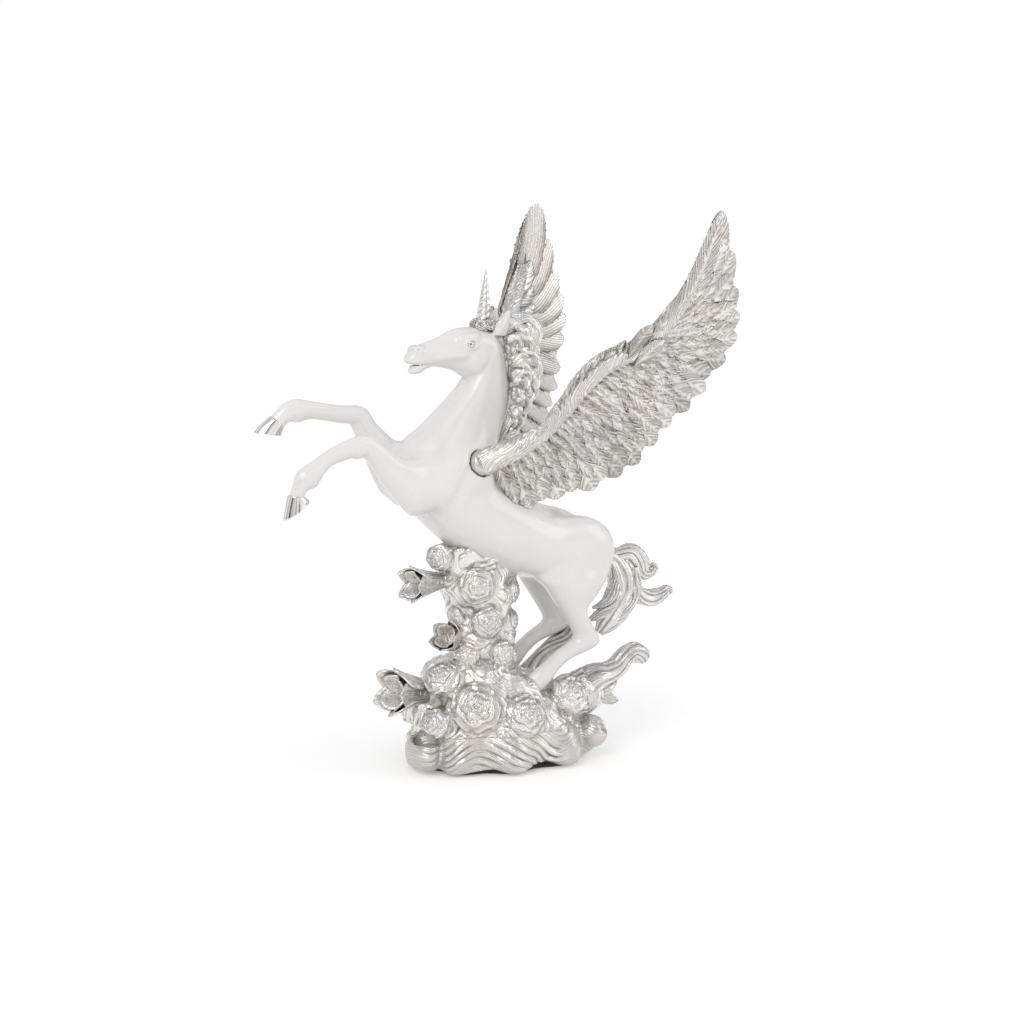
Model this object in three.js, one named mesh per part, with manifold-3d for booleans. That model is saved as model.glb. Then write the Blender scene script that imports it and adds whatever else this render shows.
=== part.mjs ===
// Rearing winged unicorn statue on a base of waves, lobes and flowers.
// Millimetres, +Z up. The horse faces -X and its left side is -Y.
import * as THREE from "three";
import { mergeVertices } from "three/addons/utils/BufferGeometryUtils.js";
import Module from "manifold-3d";

const wasm = await Module();
wasm.setup();

// Main sizes
const WING_SPREAD = 364;
const WING_TIP_HEIGHT = 553;
const LEFT_FORELEG_REACH = 158.5;
const RIGHT_FORELEG_REACH = 163.5;
const TAIL_REACH = 94;
const PLINTH_LENGTH = 196;
const PLINTH_WIDTH = 144;

// Fits
const GAP = 0.3;
const WING_CLEARANCE = 0.8;

// Felt, threaded rod and its nut
const FELT_THICKNESS = 2;
const FELT_INSET = 5;
const ROD_X = -15;
const ROD_RADIUS = 4;
const ROD_TOP = 236;
const ROD_BOTTOM = 3;
const ROD_SIDES = 12;
const NUT_RECESS_RADIUS = 16;
const NUT_RECESS_DEPTH = 16;
const NUT_RADIUS = 7.5;
const NUT_HEIGHT = 6.5;
const NUT_SIDES = 6;
const WASHER_RADIUS = 12;
const WASHER_THICKNESS = 2;

// Dowels and pins
const DOWEL_SIDES = 8;
const SHOULDER_DOWEL_RADIUS = 3;
const SHOULDER_DOWEL_LENGTH = 44;
const HIND_PIN_RADIUS = 2.2;
const HIND_PIN_LENGTH = 48;
const TAIL_DOWEL_RADIUS = 3;
const TAIL_DOWEL_LENGTH = 40;
const WING_PEG_RADIUS = 4;
const WING_PIN_RADIUS = 2.5;
const WING_PIN_OFFSET = 8;
const PEG_INTO_TRUNK = 20;
const PIN_INTO_TRUNK = 10;
const PEG_INTO_WING = 9;

// Trunk, neck and head from rump to lips: [upper x, upper z, lower x, lower z, half width]
const SPINE = [
  [122, 203, 115, 187, 9],
  [118, 214, 106, 172, 25],
  [107, 229, 90, 164, 36],
  [90, 242, 64, 170, 41],
  [71, 251, 37, 181, 39],
  [50, 257, 11, 188, 39],
  [30, 267, -14, 197, 42],
  [12, 281, -39, 211, 44],
  [-1, 296, -63, 228, 44],
  [-6, 308, -85, 248, 43],
  [-5, 318, -106, 270, 42],
  [0, 330, -117, 300, 38],
  [5, 342, -103, 326, 31],
  [9, 357, -84, 341, 26],
  [11, 375, -64, 359, 23],
  [9, 395, -48, 374, 20],
  [5, 412, -38, 385, 18.5],
  [0, 425, -31, 390, 18],
  [-9, 433, -32, 388, 18.5],
  [-22, 437, -40, 389, 18.5],
  [-36, 438, -50, 395, 17],
  [-50, 436, -60, 398, 14],
  [-66, 429, -71, 400, 11.5],
  [-80, 424.5, -80, 398, 10.5],
  [-92, 421, -88, 395, 10.5],
  [-98, 414, -94, 400, 7.5],
];
const SPINE_SIDES = 12;

// Left ear, base to tip: [front x, front z, back x, back z, half width, y]
const EAR = [
  [-12, 430, 4, 428, 4, -10],
  [-8, 440, 6, 436, 5, -12],
  [0, 449, 7, 446, 3.5, -13],
  [5, 455, 7, 453, 1, -13.5],
];
const EAR_SIDES = 6;

// Left hind leg from hip to coronet: [front x, front z, back x, back z, half width, y]
const HIND_LEG = [
  [42, 207, 112, 207, 18, -20],
  [32, 188, 109, 183, 23, -26],
  [40, 174, 98, 167, 20, -29],
  [50, 159, 85, 152, 15, -30],
  [60.5, 143, 88.5, 139, 12, -30],
  [69, 129, 96.5, 125.5, 10.5, -30],
  [70, 122, 100, 117, 11, -30],
  [63, 117, 92, 110, 10, -30],
  [54, 112, 66, 101, 8, -30],
  [42, 103, 52.5, 91.5, 7.5, -30],
  [28, 94, 40.5, 78, 9, -30],
  [19, 87, 31, 71, 8, -30],
];
const HIND_HOOF = [
  [18, 87, 32, 69, 9, -30],
  [3, 76, 30, 58, 11, -30],
  [-7, 65, 25, 52, 12, -30],
];
const RIGHT_HIND_SHIFT_X = -2;
const RIGHT_HIND_SHIFT_Z = 8;

// Left and right forelegs from shoulder to coronet, and their hooves:
// as the hind leg, but each x is a share of the leg's reach in front of the shoulder
const SHOULDER_X = -85;
const LEFT_FORELEG = [
  [0, 318, 0.044, 260, 15, -24],
  [0.12, 316, 0.158, 259, 17, -28],
  [0.202, 317, 0.259, 275, 15.5, -29],
  [0.265, 321.5, 0.353, 294, 13, -29],
  [0.341, 331, 0.423, 311, 11, -29],
  [0.404, 339, 0.473, 318.5, 10.5, -29],
  [0.473, 341, 0.517, 317.5, 10.5, -29],
  [0.549, 338.5, 0.568, 318.5, 9, -29],
  [0.675, 331, 0.694, 312, 7.5, -29],
  [0.808, 319, 0.757, 300, 8, -29],
  [0.902, 309.5, 0.782, 294, 9, -29],
  [0.931, 298, 0.845, 290.5, 7.2, -29],
  [0.959, 286, 0.864, 284, 7.2, -29],
];
const LEFT_FORE_HOOF = [
  [0.965, 288, 0.858, 285.5, 8.5, -29],
  [0.984, 275.5, 0.836, 283, 9, -29],
  [1, 263.5, 0.83, 280.5, 9.5, -29],
];
const RIGHT_FORELEG = [
  [0, 325, 0.092, 262, 15, 24],
  [0.092, 327, 0.202, 280, 16, 28],
  [0.165, 337, 0.281, 308, 13, 29],
  [0.226, 347, 0.343, 331, 11, 29],
  [0.269, 358, 0.373, 342, 10.5, 29],
  [0.33, 363, 0.398, 345, 10.5, 29],
  [0.44, 364, 0.459, 346.5, 8.5, 29],
  [0.63, 369.5, 0.63, 351.5, 7.5, 29],
  [0.728, 372.5, 0.722, 349, 9, 29],
  [0.813, 368, 0.777, 350, 7.6, 29],
  [0.899, 355, 0.82, 342.5, 7.2, 29],
];
const RIGHT_FORE_HOOF = [
  [0.893, 357.5, 0.813, 343, 8.5, 29],
  [0.954, 349.5, 0.82, 340, 9, 29],
  [1, 341.5, 0.826, 337.5, 9.5, 29],
];
const LEG_SIDES = 8;
const LEFT_SHOULDER_DOWEL = { at: [-108, -27, 288], along: [-0.8, -0.15, 0.55] };
const RIGHT_SHOULDER_DOWEL = { at: [-108, 27, 302], along: [-0.7, 0.15, 0.7] };
const HIND_PIN_AT = [14, -30, 67];
const HIND_PIN_ALONG = [-0.5, 0, -0.86];

// Eyes, horn and the blossoms round its foot
const EYE_AT = [-38, -16, 422];
const EYE_RADIUS = 4;
const EYE_SIDES = 8;
const HORN_FOOT = [-17, 0, 433];
const HORN_TIP = [-12.5, 0, 493];
const HORN_RADIUS = 7.2;
const HORN_TAPER = 0.9;
const HORN_LOBES = 4;
const HORN_TURNS = 1.6;
const HORN_STEPS = 8;
const HORN_SIDES = 12;
const HORN_GROOVE = 0.9;
const WREATH_AT = [-16, 0, 439];
const WREATH_RADIUS = 14;
const WREATH_THICKNESS = 9;
const WREATH_BULGE = 2.4;
const BLOSSOM_COUNT = 7;
const BLOSSOM_SIDES = 2;
const BLOSSOM_DEPTH = 1.6;

// Mane locks: [x, y, z, half width, half depth]
const MANE_CREST = [
  [-6, 0, 436, 6, 6],
  [6, 0, 424, 7, 7],
  [12, 0, 398, 7, 8],
  [13, 0, 370, 7, 8],
  [10, 0, 345, 6, 8],
  [0, 0, 319, 4, 5],
];
const MANE_LOCKS = [
  [[2, -3, 432, 7, 8], [14, -5, 438, 8, 9], [30, -6, 432, 7, 8], [42, -6, 412, 2, 2]],
  [[8, 4, 420, 8, 9], [24, 5, 422, 9, 10], [37, 5, 406, 7, 8], [40, 4, 384, 2, 2]],
  [[11, -4, 400, 8, 9], [25, -6, 402, 9, 10], [35, -6, 386, 7, 8], [33, -5, 366, 2, 2]],
  [[12, 4, 380, 7, 9], [24, 5, 380, 8, 9], [30, 5, 364, 6, 7], [22, 4, 344, 2, 2]],
  [[11, -3, 356, 6, 8], [20, -4, 354, 7, 7], [21, -4, 340, 5, 5], [9, -3, 322, 1.5, 1.5]],
];
const LOCK_SIDES = 6;
const LOCK_STEPS = 2;

// Tail locks, as the mane's but with each x as a share of the tail's reach behind the dock
const DOCK_X = 112;
const TAIL_LOCKS = [
  [[0, 0, 198, 9, 9], [0.191, 0, 203, 10, 9], [0.362, -2, 192, 13, 13], [0.415, -4, 172, 14, 15],
    [0.34, -5, 150, 13, 14], [0.17, -6, 130, 9, 11], [0, -6, 113, 2, 2]],
  [[0.298, -2, 196, 9, 8], [0.404, -3, 208, 8, 7], [0.553, -4, 208, 7, 6], [0.66, -4, 196, 6, 6],
    [0.681, -4, 182, 5, 5], [0.809, -4, 180, 4, 5]],
  [[0.383, -5, 172, 9, 9], [0.511, -6, 156, 8, 8], [0.66, -7, 149, 7, 6], [0.83, -7, 154, 6, 5],
    [1, -7, 156, 3, 3]],
  [[0.234, -3, 192, 7, 7], [0.17, -7, 172, 7, 7], [0.074, -9, 152, 6, 6], [-0.074, -9, 139, 2, 2]],
];
const TAIL_DOWEL = { at: [118, 0, 197], along: [0.96, 0, 0.28] };

// Left wing: root and tip, how far it bows out between them, and the way it pulls out of its socket
const WING_ROOT = [-39, -38, 307];
const WING_TIP = [144, -WING_SPREAD / 2, WING_TIP_HEIGHT];
const WING_BOW = 24;
const PULL = new THREE.Vector3(0.2, -0.87, 0.45).normalize();
const BOSS_RADIUS = 12.5;
const BOSS_SIDES = 16;
const BOSS_INTO_TRUNK = 6;
const BOSS_INTO_WING = 8;

// Arm of the wing: [along the span, across it, out of it, radius]
const ARM = [
  [0, 0, 1, 13],
  [28, -13, 1, 12],
  [50, -20, 1, 9.5],
  [70, -24, 1, 8],
  [88, -20, 1, 9],
  [103, -18, 1, 9.5],
  [126, -13, 1, 11],
  [151, -11, 1, 11],
  [172, -17, 1, 10.5],
  [194, -27, 1, 9.5],
  [213, -28, 0, 9],
  [236, -26, 0, 9],
  [257, -24, 0, 7.5],
  [275, -20, 0, 4],
];
const ARM_SIDES = 8;

// Flight feathers from wing tip to root: [root along, root across, tip along, tip across, bend]
const FLIGHT_FEATHERS = [
  [240, -34, 338, 0, -7],
  [230, -36, 317, -34, -5],
  [219, -37, 294, -62, -4],
  [208, -37, 277, -81, -3],
  [197, -36, 260, -94, -1],
  [186, -33, 236, -102, 0],
  [172, -27, 200, -110, 1],
  [157, -22, 175, -113, 2],
  [142, -21, 150, -112, 2],
  [124, -21, 126, -117, 3],
  [104, -25, 99, -121, 3],
  [85, -26, 77, -118, 3],
  [63, -28, 50, -110, 3],
  [42, -26, 21, -90, 3],
  [20, -20, -6, -74, 2],
];
const DRAWN_SPAN = FLIGHT_FEATHERS[0][2];
const FEATHER_HALF_WIDTH = 17;
const FEATHER_HALF_THICKNESS = 2.4;
const FEATHER_TILT = 0.1;
const FEATHER_ROOT_SHARE = 0.55;
const FEATHER_FULL_AT = 0.4;
const FEATHER_THINNING = 0.5;
const FEATHER_SHOULDER = 0.7;
const FEATHER_STEPS = [0, 0.45, 0.82, 0.97];

// Two rows of short feathers over the flight feathers, and the blade that carries them all.
// Rows: [reach as a share of the flight feathers, lift as a share, first flight feather, places of the rings]
const COVERT_HALF_WIDTH = 19;
const COVERT_LIFT = 3;
const COVERT_ROWS = [
  [0.62, 1, 1, [0, 0.6, 0.95]],
  [0.38, 1.8, 4, [0, 0.9]],
];
const BLADE_REACH = 0.45;
const BLADE_HALF_THICKNESS = 1.5;

// Plinth and mound rings: [z, x of the middle, inset at each end, inset at each side, depth of the scallops]
const PLINTH_RINGS = [
  [0, 2, 6, 7, 4],
  [8, 2, 1, 1, 6],
  [20, 2, 0, 0, 6],
  [32, 0, 6, 4, 5],
  [44, -5, 14, 9, 3],
  [60, -9, 19, 16, 3],
  [76, -18, 30, 22, 3],
  [92, -28, 44, 29, 2],
  [104, -32, 58, 39, 1],
];
const SCALLOPS = 9;
const PLINTH_SIDES = 27;

// Column core: [x, y, z, half width, half length]
const COLUMN_CORE = [
  [-16, 0, 72, 26, 34],
  [-17, 0, 96, 27, 35],
  [-18, 0, 118, 25, 34],
  [-19, 0, 146, 25, 33],
  [-21, 0, 172, 28, 36],
  [-24, 0, 200, 31, 42],
  [-26, 0, 222, 30, 42],
];
const COLUMN_SIDES = 12;

// Roses: [x, y, z, radius, facing azimuth in degrees from -Y towards +X, facing elevation]
const BASE_ROSES = [
  [-50, -50, 67, 23, -20, 20],
  [-87, -31, 52, 15, -62, 12],
  [1, -58, 55, 21, 3, 30],
  [-74, -22, 94, 17, -40, 45],
  [64, -36, 66, 21, 18, 35],
  [36, 50, 60, 20, 160, 25],
  [-46, 46, 72, 20, 205, 25],
];
const COLUMN_ROSES = [
  [-38, -28, 184, 17, -15, 5],
  [-26, -27, 146, 15, -5, 0],
  [9, -12, 173, 13, 60, 0],
  [13, -8, 143, 8.5, 70, 0],
  [-70, -8, 212, 13, -50, 0],
  [-20, 26, 165, 16, 180, 0],
];

// Cup flowers, as the roses
const BASE_CUPS = [
  [-112, -4, 80, 24, -82, 8],
  [120, -8, 58, 17, 76, 5],
];
const COLUMN_CUPS = [
  [-92, -4, 187, 19, -80, 0],
  [-60, -8, 131, 16, -66, 25],
];

// Rings of a rose and of a cup: radius, height and depth of the petals as shares of its size
const ROSE_RINGS = [
  [0.65, -0.75, 0.09],
  [1, -0.1, 0.09],
  [0.72, 0.32, -0.09],
  [0.58, 0.2, -0.09],
  [0.32, 0.5, 0.09],
];
const CUP_RINGS = [
  [0.36, -1.9, 0],
  [0.52, -0.7, 0.04],
  [0.95, 0.55, 0.2],
  [0.68, 0.3, 0.15],
  [0.25, -0.3, 0],
];
const PETALS = 5;

// Rounded lobes of the plinth, and the hollow in the front one:
// [x, y, z, half length, half width, half height]
const BASE_LOBES = [
  [-90, -14, 20, 18, 24, 19],
  [88, -34, 24, 17, 16, 16],
  [86, 30, 22, 18, 18, 17],
  [92, -12, 58, 22, 20, 20],
];
const LOBE_HOLLOW = [-92, -20, 34, 12, 15, 9];
const LOBE_SIDES = 8;

// Wave crest behind the hind legs that curls over at its end: [x, y, z, half width, half depth]
const WAVE_CREST = [
  [52, 2, 44, 30, 16],
  [86, -6, 60, 26, 17],
  [106, -10, 76, 20, 14],
  [118, -12, 82, 14, 9],
  [130, -12, 82, 12, 8],
  [138, -12, 94, 11, 7],
  [150, -12, 102, 10, 7],
  [162, -12, 94, 8, 5],
];

// Wave under the raised right hind leg, as the crest
const WAVE_RIDGE = [
  [34, 26, 58, 14, 16],
  [60, 28, 80, 12, 14],
  [80, 29, 97, 11, 13],
  [94, 30, 110, 9, 9],
  [104, 30, 120, 5, 4],
];
const CREST_SIDES = 6;

// Finishes
const WHITE = { color: 0xecebe8, roughness: 0.12, metalness: 0 };
const SILVER = { color: 0xcfcbc6, roughness: 0.16, metalness: 1 };
const STEEL = { color: 0x8d9096, roughness: 0.35, metalness: 1 };
const FELT = { color: 0x3c3c40, roughness: 1, metalness: 0 };

const Y_AXIS = new THREE.Vector3(0, 1, 0);
const Z_AXIS = new THREE.Vector3(0, 0, 1);
const vector = ([x, y, z]) => new THREE.Vector3(x, y, z);
const radians = THREE.MathUtils.degToRad;
const union = (solids) => wasm.Manifold.union(solids);

// Closed solid from points and triangles, turned so that its faces point out
function solidOf(points, faces) {
  let volume = 0;
  for (let f = 0; f < faces.length; f += 3) {
    const [a, b, c] = [points[faces[f]], points[faces[f + 1]], points[faces[f + 2]]];
    volume += a.dot(b.clone().cross(c));
  }
  const outward = volume > 0 ? faces : faces.toReversed();
  return new wasm.Manifold(new wasm.Mesh({
    numProp: 3,
    vertProperties: Float32Array.from(points.flatMap((p) => p.toArray())),
    triVerts: Uint32Array.from(outward),
  }));
}

// Closed solid from a three.js geometry
function solidFrom(geometry) {
  geometry.deleteAttribute("normal");
  geometry.deleteAttribute("uv");
  const merged = mergeVertices(geometry);
  const place = merged.attributes.position;
  const spot = (i) => new THREE.Vector3().fromBufferAttribute(place, i);
  const points = Array.from({ length: place.count }, (_, i) => spot(i));
  return solidOf(points, Array.from(merged.index.array));
}

// Ellipse of points about a middle
function ring(middle, reach, across, sides) {
  return Array.from({ length: sides }, (_, i) => {
    const turn = (2 * Math.PI * i) / sides;
    return middle.clone().addScaledVector(reach, Math.cos(turn)).addScaledVector(across, Math.sin(turn));
  });
}

function middleOf(points) {
  return points.reduce((sum, p) => sum.add(p), new THREE.Vector3()).divideScalar(points.length);
}

// Skin over rings, closed by a fan at each end; grow pushes the ends out along the loft
function skin(rings, grow = 0) {
  const sides = rings[0].length;
  const hubs = [rings[0], rings.at(-1)].map(middleOf);
  const inward = [middleOf(rings[1]), middleOf(rings.at(-2))];
  [rings[0], rings.at(-1)].forEach((end, which) => {
    const out = hubs[which].clone().sub(inward[which]).setLength(grow);
    [...end, hubs[which]].forEach((p) => p.add(out));
  });
  const points = [...rings.flat(), ...hubs];
  const last = (rings.length - 1) * sides;
  const faces = [];
  for (let i = 0; i < sides; i++) {
    const next = (i + 1) % sides;
    for (let r = 0; r < last; r += sides) {
      faces.push(r + i, r + next, r + sides + i, r + next, r + sides + next, r + sides + i);
    }
    faces.push(next, i, last + sides, last + i, last + next, last + sides + 1);
  }
  return solidOf(points, faces);
}

// Catmull-Rom blend of number lists, with steps in each span
function refine(stations, steps) {
  const at = (i) => stations[Math.min(Math.max(i, 0), stations.length - 1)];
  const fine = [];
  for (let i = 0; i < stations.length - 1; i++) {
    for (let s = 0; s < steps; s++) {
      const t = s / steps;
      const [a, b, c, d] = [at(i - 1), at(i), at(i + 1), at(i + 2)];
      fine.push(b.map((_, k) => b[k] + 0.5 * t * (c[k] - a[k]
        + t * (2 * a[k] - 5 * b[k] + 4 * c[k] - d[k] + t * (3 * (b[k] - c[k]) + d[k] - a[k])))));
    }
  }
  return [...fine, stations.at(-1)];
}

// Loft between two profile lines in side view
function profile(stations, sides, grow = 0) {
  const rings = stations.map(([fx, fz, bx, bz, wide, y = 0]) => {
    const middle = new THREE.Vector3((fx + bx) / 2, y, (fz + bz) / 2);
    const reach = new THREE.Vector3((fx - bx) / 2, 0, (fz - bz) / 2);
    reach.setLength(reach.length() + grow);
    return ring(middle, reach, Y_AXIS.clone().multiplyScalar(wide + grow), sides);
  });
  return skin(rings, grow);
}

// Loft along a path of stations [x, y, z, half width along across, half depth]
function strand(stations, { sides, steps = 1, grow = 0, across = Y_AXIS }) {
  const fine = refine(stations, steps);
  const spots = fine.map(vector);
  const rings = fine.map((station, i) => {
    const ahead = spots[Math.min(i + 1, spots.length - 1)];
    const behind = spots[Math.max(i - 1, 0)];
    const tangent = ahead.clone().sub(behind).normalize();
    const deep = tangent.clone().cross(across).normalize();
    const wide = deep.clone().cross(tangent);
    const [halfWide, halfDeep] = station.slice(3);
    return ring(spots[i], deep.multiplyScalar(halfDeep + grow), wide.multiplyScalar(halfWide + grow), sides);
  });
  return skin(rings, grow);
}

// Round bar between two points
function bar(from, to, radius, sides) {
  const axis = to.clone().sub(from);
  const shape = new THREE.CylinderGeometry(radius, radius, axis.length(), sides);
  shape.applyQuaternion(new THREE.Quaternion().setFromUnitVectors(Y_AXIS, axis.clone().normalize()));
  const middle = from.clone().add(to).divideScalar(2);
  return solidFrom(shape.translate(middle.x, middle.y, middle.z));
}

// Bar centred on a point, with its ends pushed out by grow too
function dowel({ at, along }, radius, length, grow = 0) {
  const half = vector(along).setLength(length / 2 + grow);
  return bar(vector(at).sub(half), vector(at).add(half), radius + grow, DOWEL_SIDES);
}

// Profile stations carried over to the right side, moved along and up
function rightStations(stations, dx = 0, dz = 0) {
  return stations.map(([fx, fz, bx, bz, wide, y]) => [fx + dx, fz + dz, bx + dx, bz + dz, wide, -y]);
}

// Hind leg or hoof: the right one stands a little further forward and up
function hindForm(stations, isRight, grow) {
  const placed = isRight ? rightStations(stations, RIGHT_HIND_SHIFT_X, RIGHT_HIND_SHIFT_Z) : stations;
  return profile(placed, LEG_SIDES, grow);
}

function hindPin(isRight, grow) {
  const [x, y, z] = HIND_PIN_AT;
  const at = isRight ? [x + RIGHT_HIND_SHIFT_X, -y, z + RIGHT_HIND_SHIFT_Z] : HIND_PIN_AT;
  return dowel({ at, along: HIND_PIN_ALONG }, HIND_PIN_RADIUS, HIND_PIN_LENGTH, grow);
}

// White form of trunk, neck, head, ears and hind legs
function horseForm(grow) {
  return union([
    profile(SPINE, SPINE_SIDES, grow),
    profile(EAR, EAR_SIDES, grow),
    profile(rightStations(EAR), EAR_SIDES, grow),
    hindForm(HIND_LEG, false, grow),
    hindForm(HIND_LEG, true, grow),
  ]);
}

// Horn: a cone with rounded lobes that wind round it
function hornForm(grow) {
  const foot = vector(HORN_FOOT);
  const axis = vector(HORN_TIP).sub(foot);
  const rings = Array.from({ length: HORN_STEPS + 1 }, (_, s) => {
    const t = s / HORN_STEPS;
    const radius = HORN_RADIUS * (1 - HORN_TAPER * t);
    return Array.from({ length: HORN_SIDES }, (__, i) => {
      const turn = (2 * Math.PI * i) / HORN_SIDES;
      const lobe = HORN_GROOVE * (1 - t) * Math.cos(HORN_LOBES * (turn - 2 * Math.PI * HORN_TURNS * t));
      const reach = radius + lobe + grow;
      return foot.clone().addScaledVector(axis, t)
        .add(new THREE.Vector3(reach * Math.cos(turn), reach * Math.sin(turn), 0));
    });
  });
  return skin(rings, grow);
}

// Wreath: a rounded ring with one lobe for each blossom
function wreathForm(grow) {
  const sides = BLOSSOM_SIDES * BLOSSOM_COUNT;
  const rings = [-0.5, 0, 0.5].map((height) => Array.from({ length: sides }, (_, i) => {
    const turn = (2 * Math.PI * i) / sides;
    const bulge = Math.sqrt(1 - WREATH_BULGE * height * height);
    const reach = WREATH_RADIUS * bulge + BLOSSOM_DEPTH * Math.cos(BLOSSOM_COUNT * turn) + grow;
    return vector(WREATH_AT).add(new THREE.Vector3(
      reach * Math.cos(turn), reach * Math.sin(turn), height * WREATH_THICKNESS));
  }));
  return skin(rings, grow);
}

// Flower of lobed petal rings from its foot to its middle
function flower([x, y, z, radius, azimuth, elevation], table) {
  const facing = new THREE.Vector3(
    Math.sin(radians(azimuth)) * Math.cos(radians(elevation)),
    -Math.cos(radians(azimuth)) * Math.cos(radians(elevation)),
    Math.sin(radians(elevation)),
  );
  const turned = new THREE.Quaternion().setFromUnitVectors(Z_AXIS, facing);
  const sides = 2 * PETALS;
  const rings = table.map(([out, height, depth]) => Array.from({ length: sides }, (_, i) => {
    const turn = (2 * Math.PI * i) / sides;
    const reach = radius * out * (1 + depth * Math.cos(PETALS * turn));
    return new THREE.Vector3(reach * Math.cos(turn), reach * Math.sin(turn), radius * height)
      .applyQuaternion(turned)
      .add(new THREE.Vector3(x, y, z));
  }));
  return skin(rings);
}

const roses = (spots) => spots.map((spot) => flower(spot, ROSE_RINGS));
const cups = (spots) => spots.map((spot) => flower(spot, CUP_RINGS));

function lobe([x, y, z, length, width, height]) {
  const ball = new THREE.SphereGeometry(1, LOBE_SIDES, LOBE_SIDES / 2);
  return solidFrom(ball.scale(length, width, height).translate(x, y, z));
}

// Outline of the plinth with scallops, shrunk by inset
function plinthRing([z, x, lengthInset, widthInset, scallop], inset = 0) {
  return Array.from({ length: PLINTH_SIDES }, (_, i) => {
    const turn = (2 * Math.PI * i) / PLINTH_SIDES;
    const wave = -scallop * Math.cos(SCALLOPS * turn) - inset;
    const [length, width] = [PLINTH_LENGTH / 2 - lengthInset + wave, PLINTH_WIDTH / 2 - widthInset + wave];
    return new THREE.Vector3(x + length * Math.cos(turn), width * Math.sin(turn), z);
  });
}

function columnCore(grow) {
  return strand(COLUMN_CORE, { sides: COLUMN_SIDES, grow });
}

function columnForm() {
  return union([
    columnCore(0),
    ...roses(COLUMN_ROSES),
    ...cups(COLUMN_CUPS),
  ]);
}

function baseForm() {
  return union([
    skin(PLINTH_RINGS.map((station) => plinthRing(station))),
    ...BASE_LOBES.map(lobe),
    ...roses(BASE_ROSES),
    strand(WAVE_CREST, { sides: CREST_SIDES }),
    strand(WAVE_RIDGE, { sides: CREST_SIDES }),
  ]).subtract(lobe(LOBE_HOLLOW)).add(union(cups(BASE_CUPS)));
}

// Upright bar on the rod's axis
function upright(bottom, top, radius, sides = ROD_SIDES) {
  return bar(new THREE.Vector3(ROD_X, 0, bottom), new THREE.Vector3(ROD_X, 0, top), radius, sides);
}

// Point of the flat wing pushed out by its bow, which is greatest two thirds of the way to the tip
function bowed(point) {
  const t = THREE.MathUtils.clamp(point.x / DRAWN_SPAN, 0, 1);
  const greatest = 4 / 27;
  return point.setZ(point.z + WING_BOW * t * t * (1 - t) / greatest);
}

// Feather in the flat wing, leaf shaped with a raised shaft
function feather([ru, rv, tu, tv, bend], half, lift, steps) {
  const root = new THREE.Vector3(ru, rv, 0);
  const along = new THREE.Vector3(tu - ru, tv - rv, 0);
  const side = along.clone().cross(Z_AXIS).normalize();
  const rings = steps.map((t) => {
    const spot = root.clone().addScaledVector(along, t).addScaledVector(side, -bend * Math.sin(Math.PI * t));
    const thin = 1 - FEATHER_THINNING * t;
    spot.z = lift * thin;
    const past = Math.max(0, t - FEATHER_SHOULDER) / (1 - FEATHER_SHOULDER);
    const share = THREE.MathUtils.lerp(FEATHER_ROOT_SHARE, 1, Math.min(1, t / FEATHER_FULL_AT));
    const reach = half * share * Math.sqrt(1 - past * past);
    const spine = FEATHER_HALF_THICKNESS * thin;
    return [[-reach, 0], [0, -spine], [reach, 0], [0, spine]]
      .map(([s, n]) => spot.clone().addScaledVector(side, s).addScaledVector(Z_AXIS, n - FEATHER_TILT * s))
      .map(bowed);
  });
  return skin(rings);
}

// Row of short feathers over every second flight feather from the first
function coverts([share, rise, first, steps]) {
  const carriers = FLIGHT_FEATHERS.filter((_, i) => i >= first && (i - first) % 2 === 0);
  return carriers.map(([ru, rv, tu, tv, bend]) => {
    const tip = [ru + (tu - ru) * share, rv + (tv - rv) * share];
    return feather([ru, rv, ...tip, bend * share], COVERT_HALF_WIDTH, COVERT_LIFT * rise, steps);
  });
}

// Matrix from the flat wing to the statue: its chord is level across Y and its first feather ends at the tip
function wingMatrix() {
  const root = vector(WING_ROOT);
  const reach = vector(WING_TIP).sub(root);
  const span = reach.clone().normalize();
  const chord = new THREE.Vector3(-span.z, 0, span.x).normalize();
  const normal = span.clone().cross(chord);
  return new THREE.Matrix4().makeBasis(reach.divideScalar(DRAWN_SPAN), chord, normal).setPosition(root);
}

// Blade inside the plumage, from the arm to a share of each feather's length
function blade() {
  const rings = FLIGHT_FEATHERS.map(([ru, rv, tu, tv]) => {
    const root = new THREE.Vector3(ru, rv, 0);
    const end = root.clone().lerp(new THREE.Vector3(tu, tv, 0), BLADE_REACH);
    const up = new THREE.Vector3(0, 0, BLADE_HALF_THICKNESS);
    return [root.clone().add(up), root.clone().sub(up), end].map(bowed);
  });
  return skin(rings);
}

function armStation([u, v, n, radius]) {
  return [...bowed(new THREE.Vector3(u, v, n)).toArray(), radius, radius];
}

// Feathers, blade and arm as one casting without sealed pockets
function plumage() {
  const flat = union([
    ...FLIGHT_FEATHERS.map((spot) => feather(spot, FEATHER_HALF_WIDTH, 0, FEATHER_STEPS)),
    ...COVERT_ROWS.flatMap(coverts),
    blade(),
    strand(ARM.map(armStation), { sides: ARM_SIDES, across: Z_AXIS }),
  ]);
  const whole = flat.decompose().reduce((a, b) => (a.volume() > b.volume() ? a : b));
  return solidFrom(geometryOf(whole).applyMatrix4(wingMatrix()));
}

// Bar along the way the wing pulls out, from a depth in the trunk to a height in the wing
function onPull(inward, outward, radius, sides, offset = 0) {
  const side = PULL.clone().cross(Y_AXIS).normalize().multiplyScalar(offset);
  const root = vector(WING_ROOT).add(side);
  const [from, to] = [-inward, outward].map((reach) => root.clone().addScaledVector(PULL, reach));
  return bar(from, to, radius, sides);
}

function boss(grow) {
  return onPull(BOSS_INTO_TRUNK + grow, BOSS_INTO_WING, BOSS_RADIUS + grow, BOSS_SIDES);
}

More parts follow.
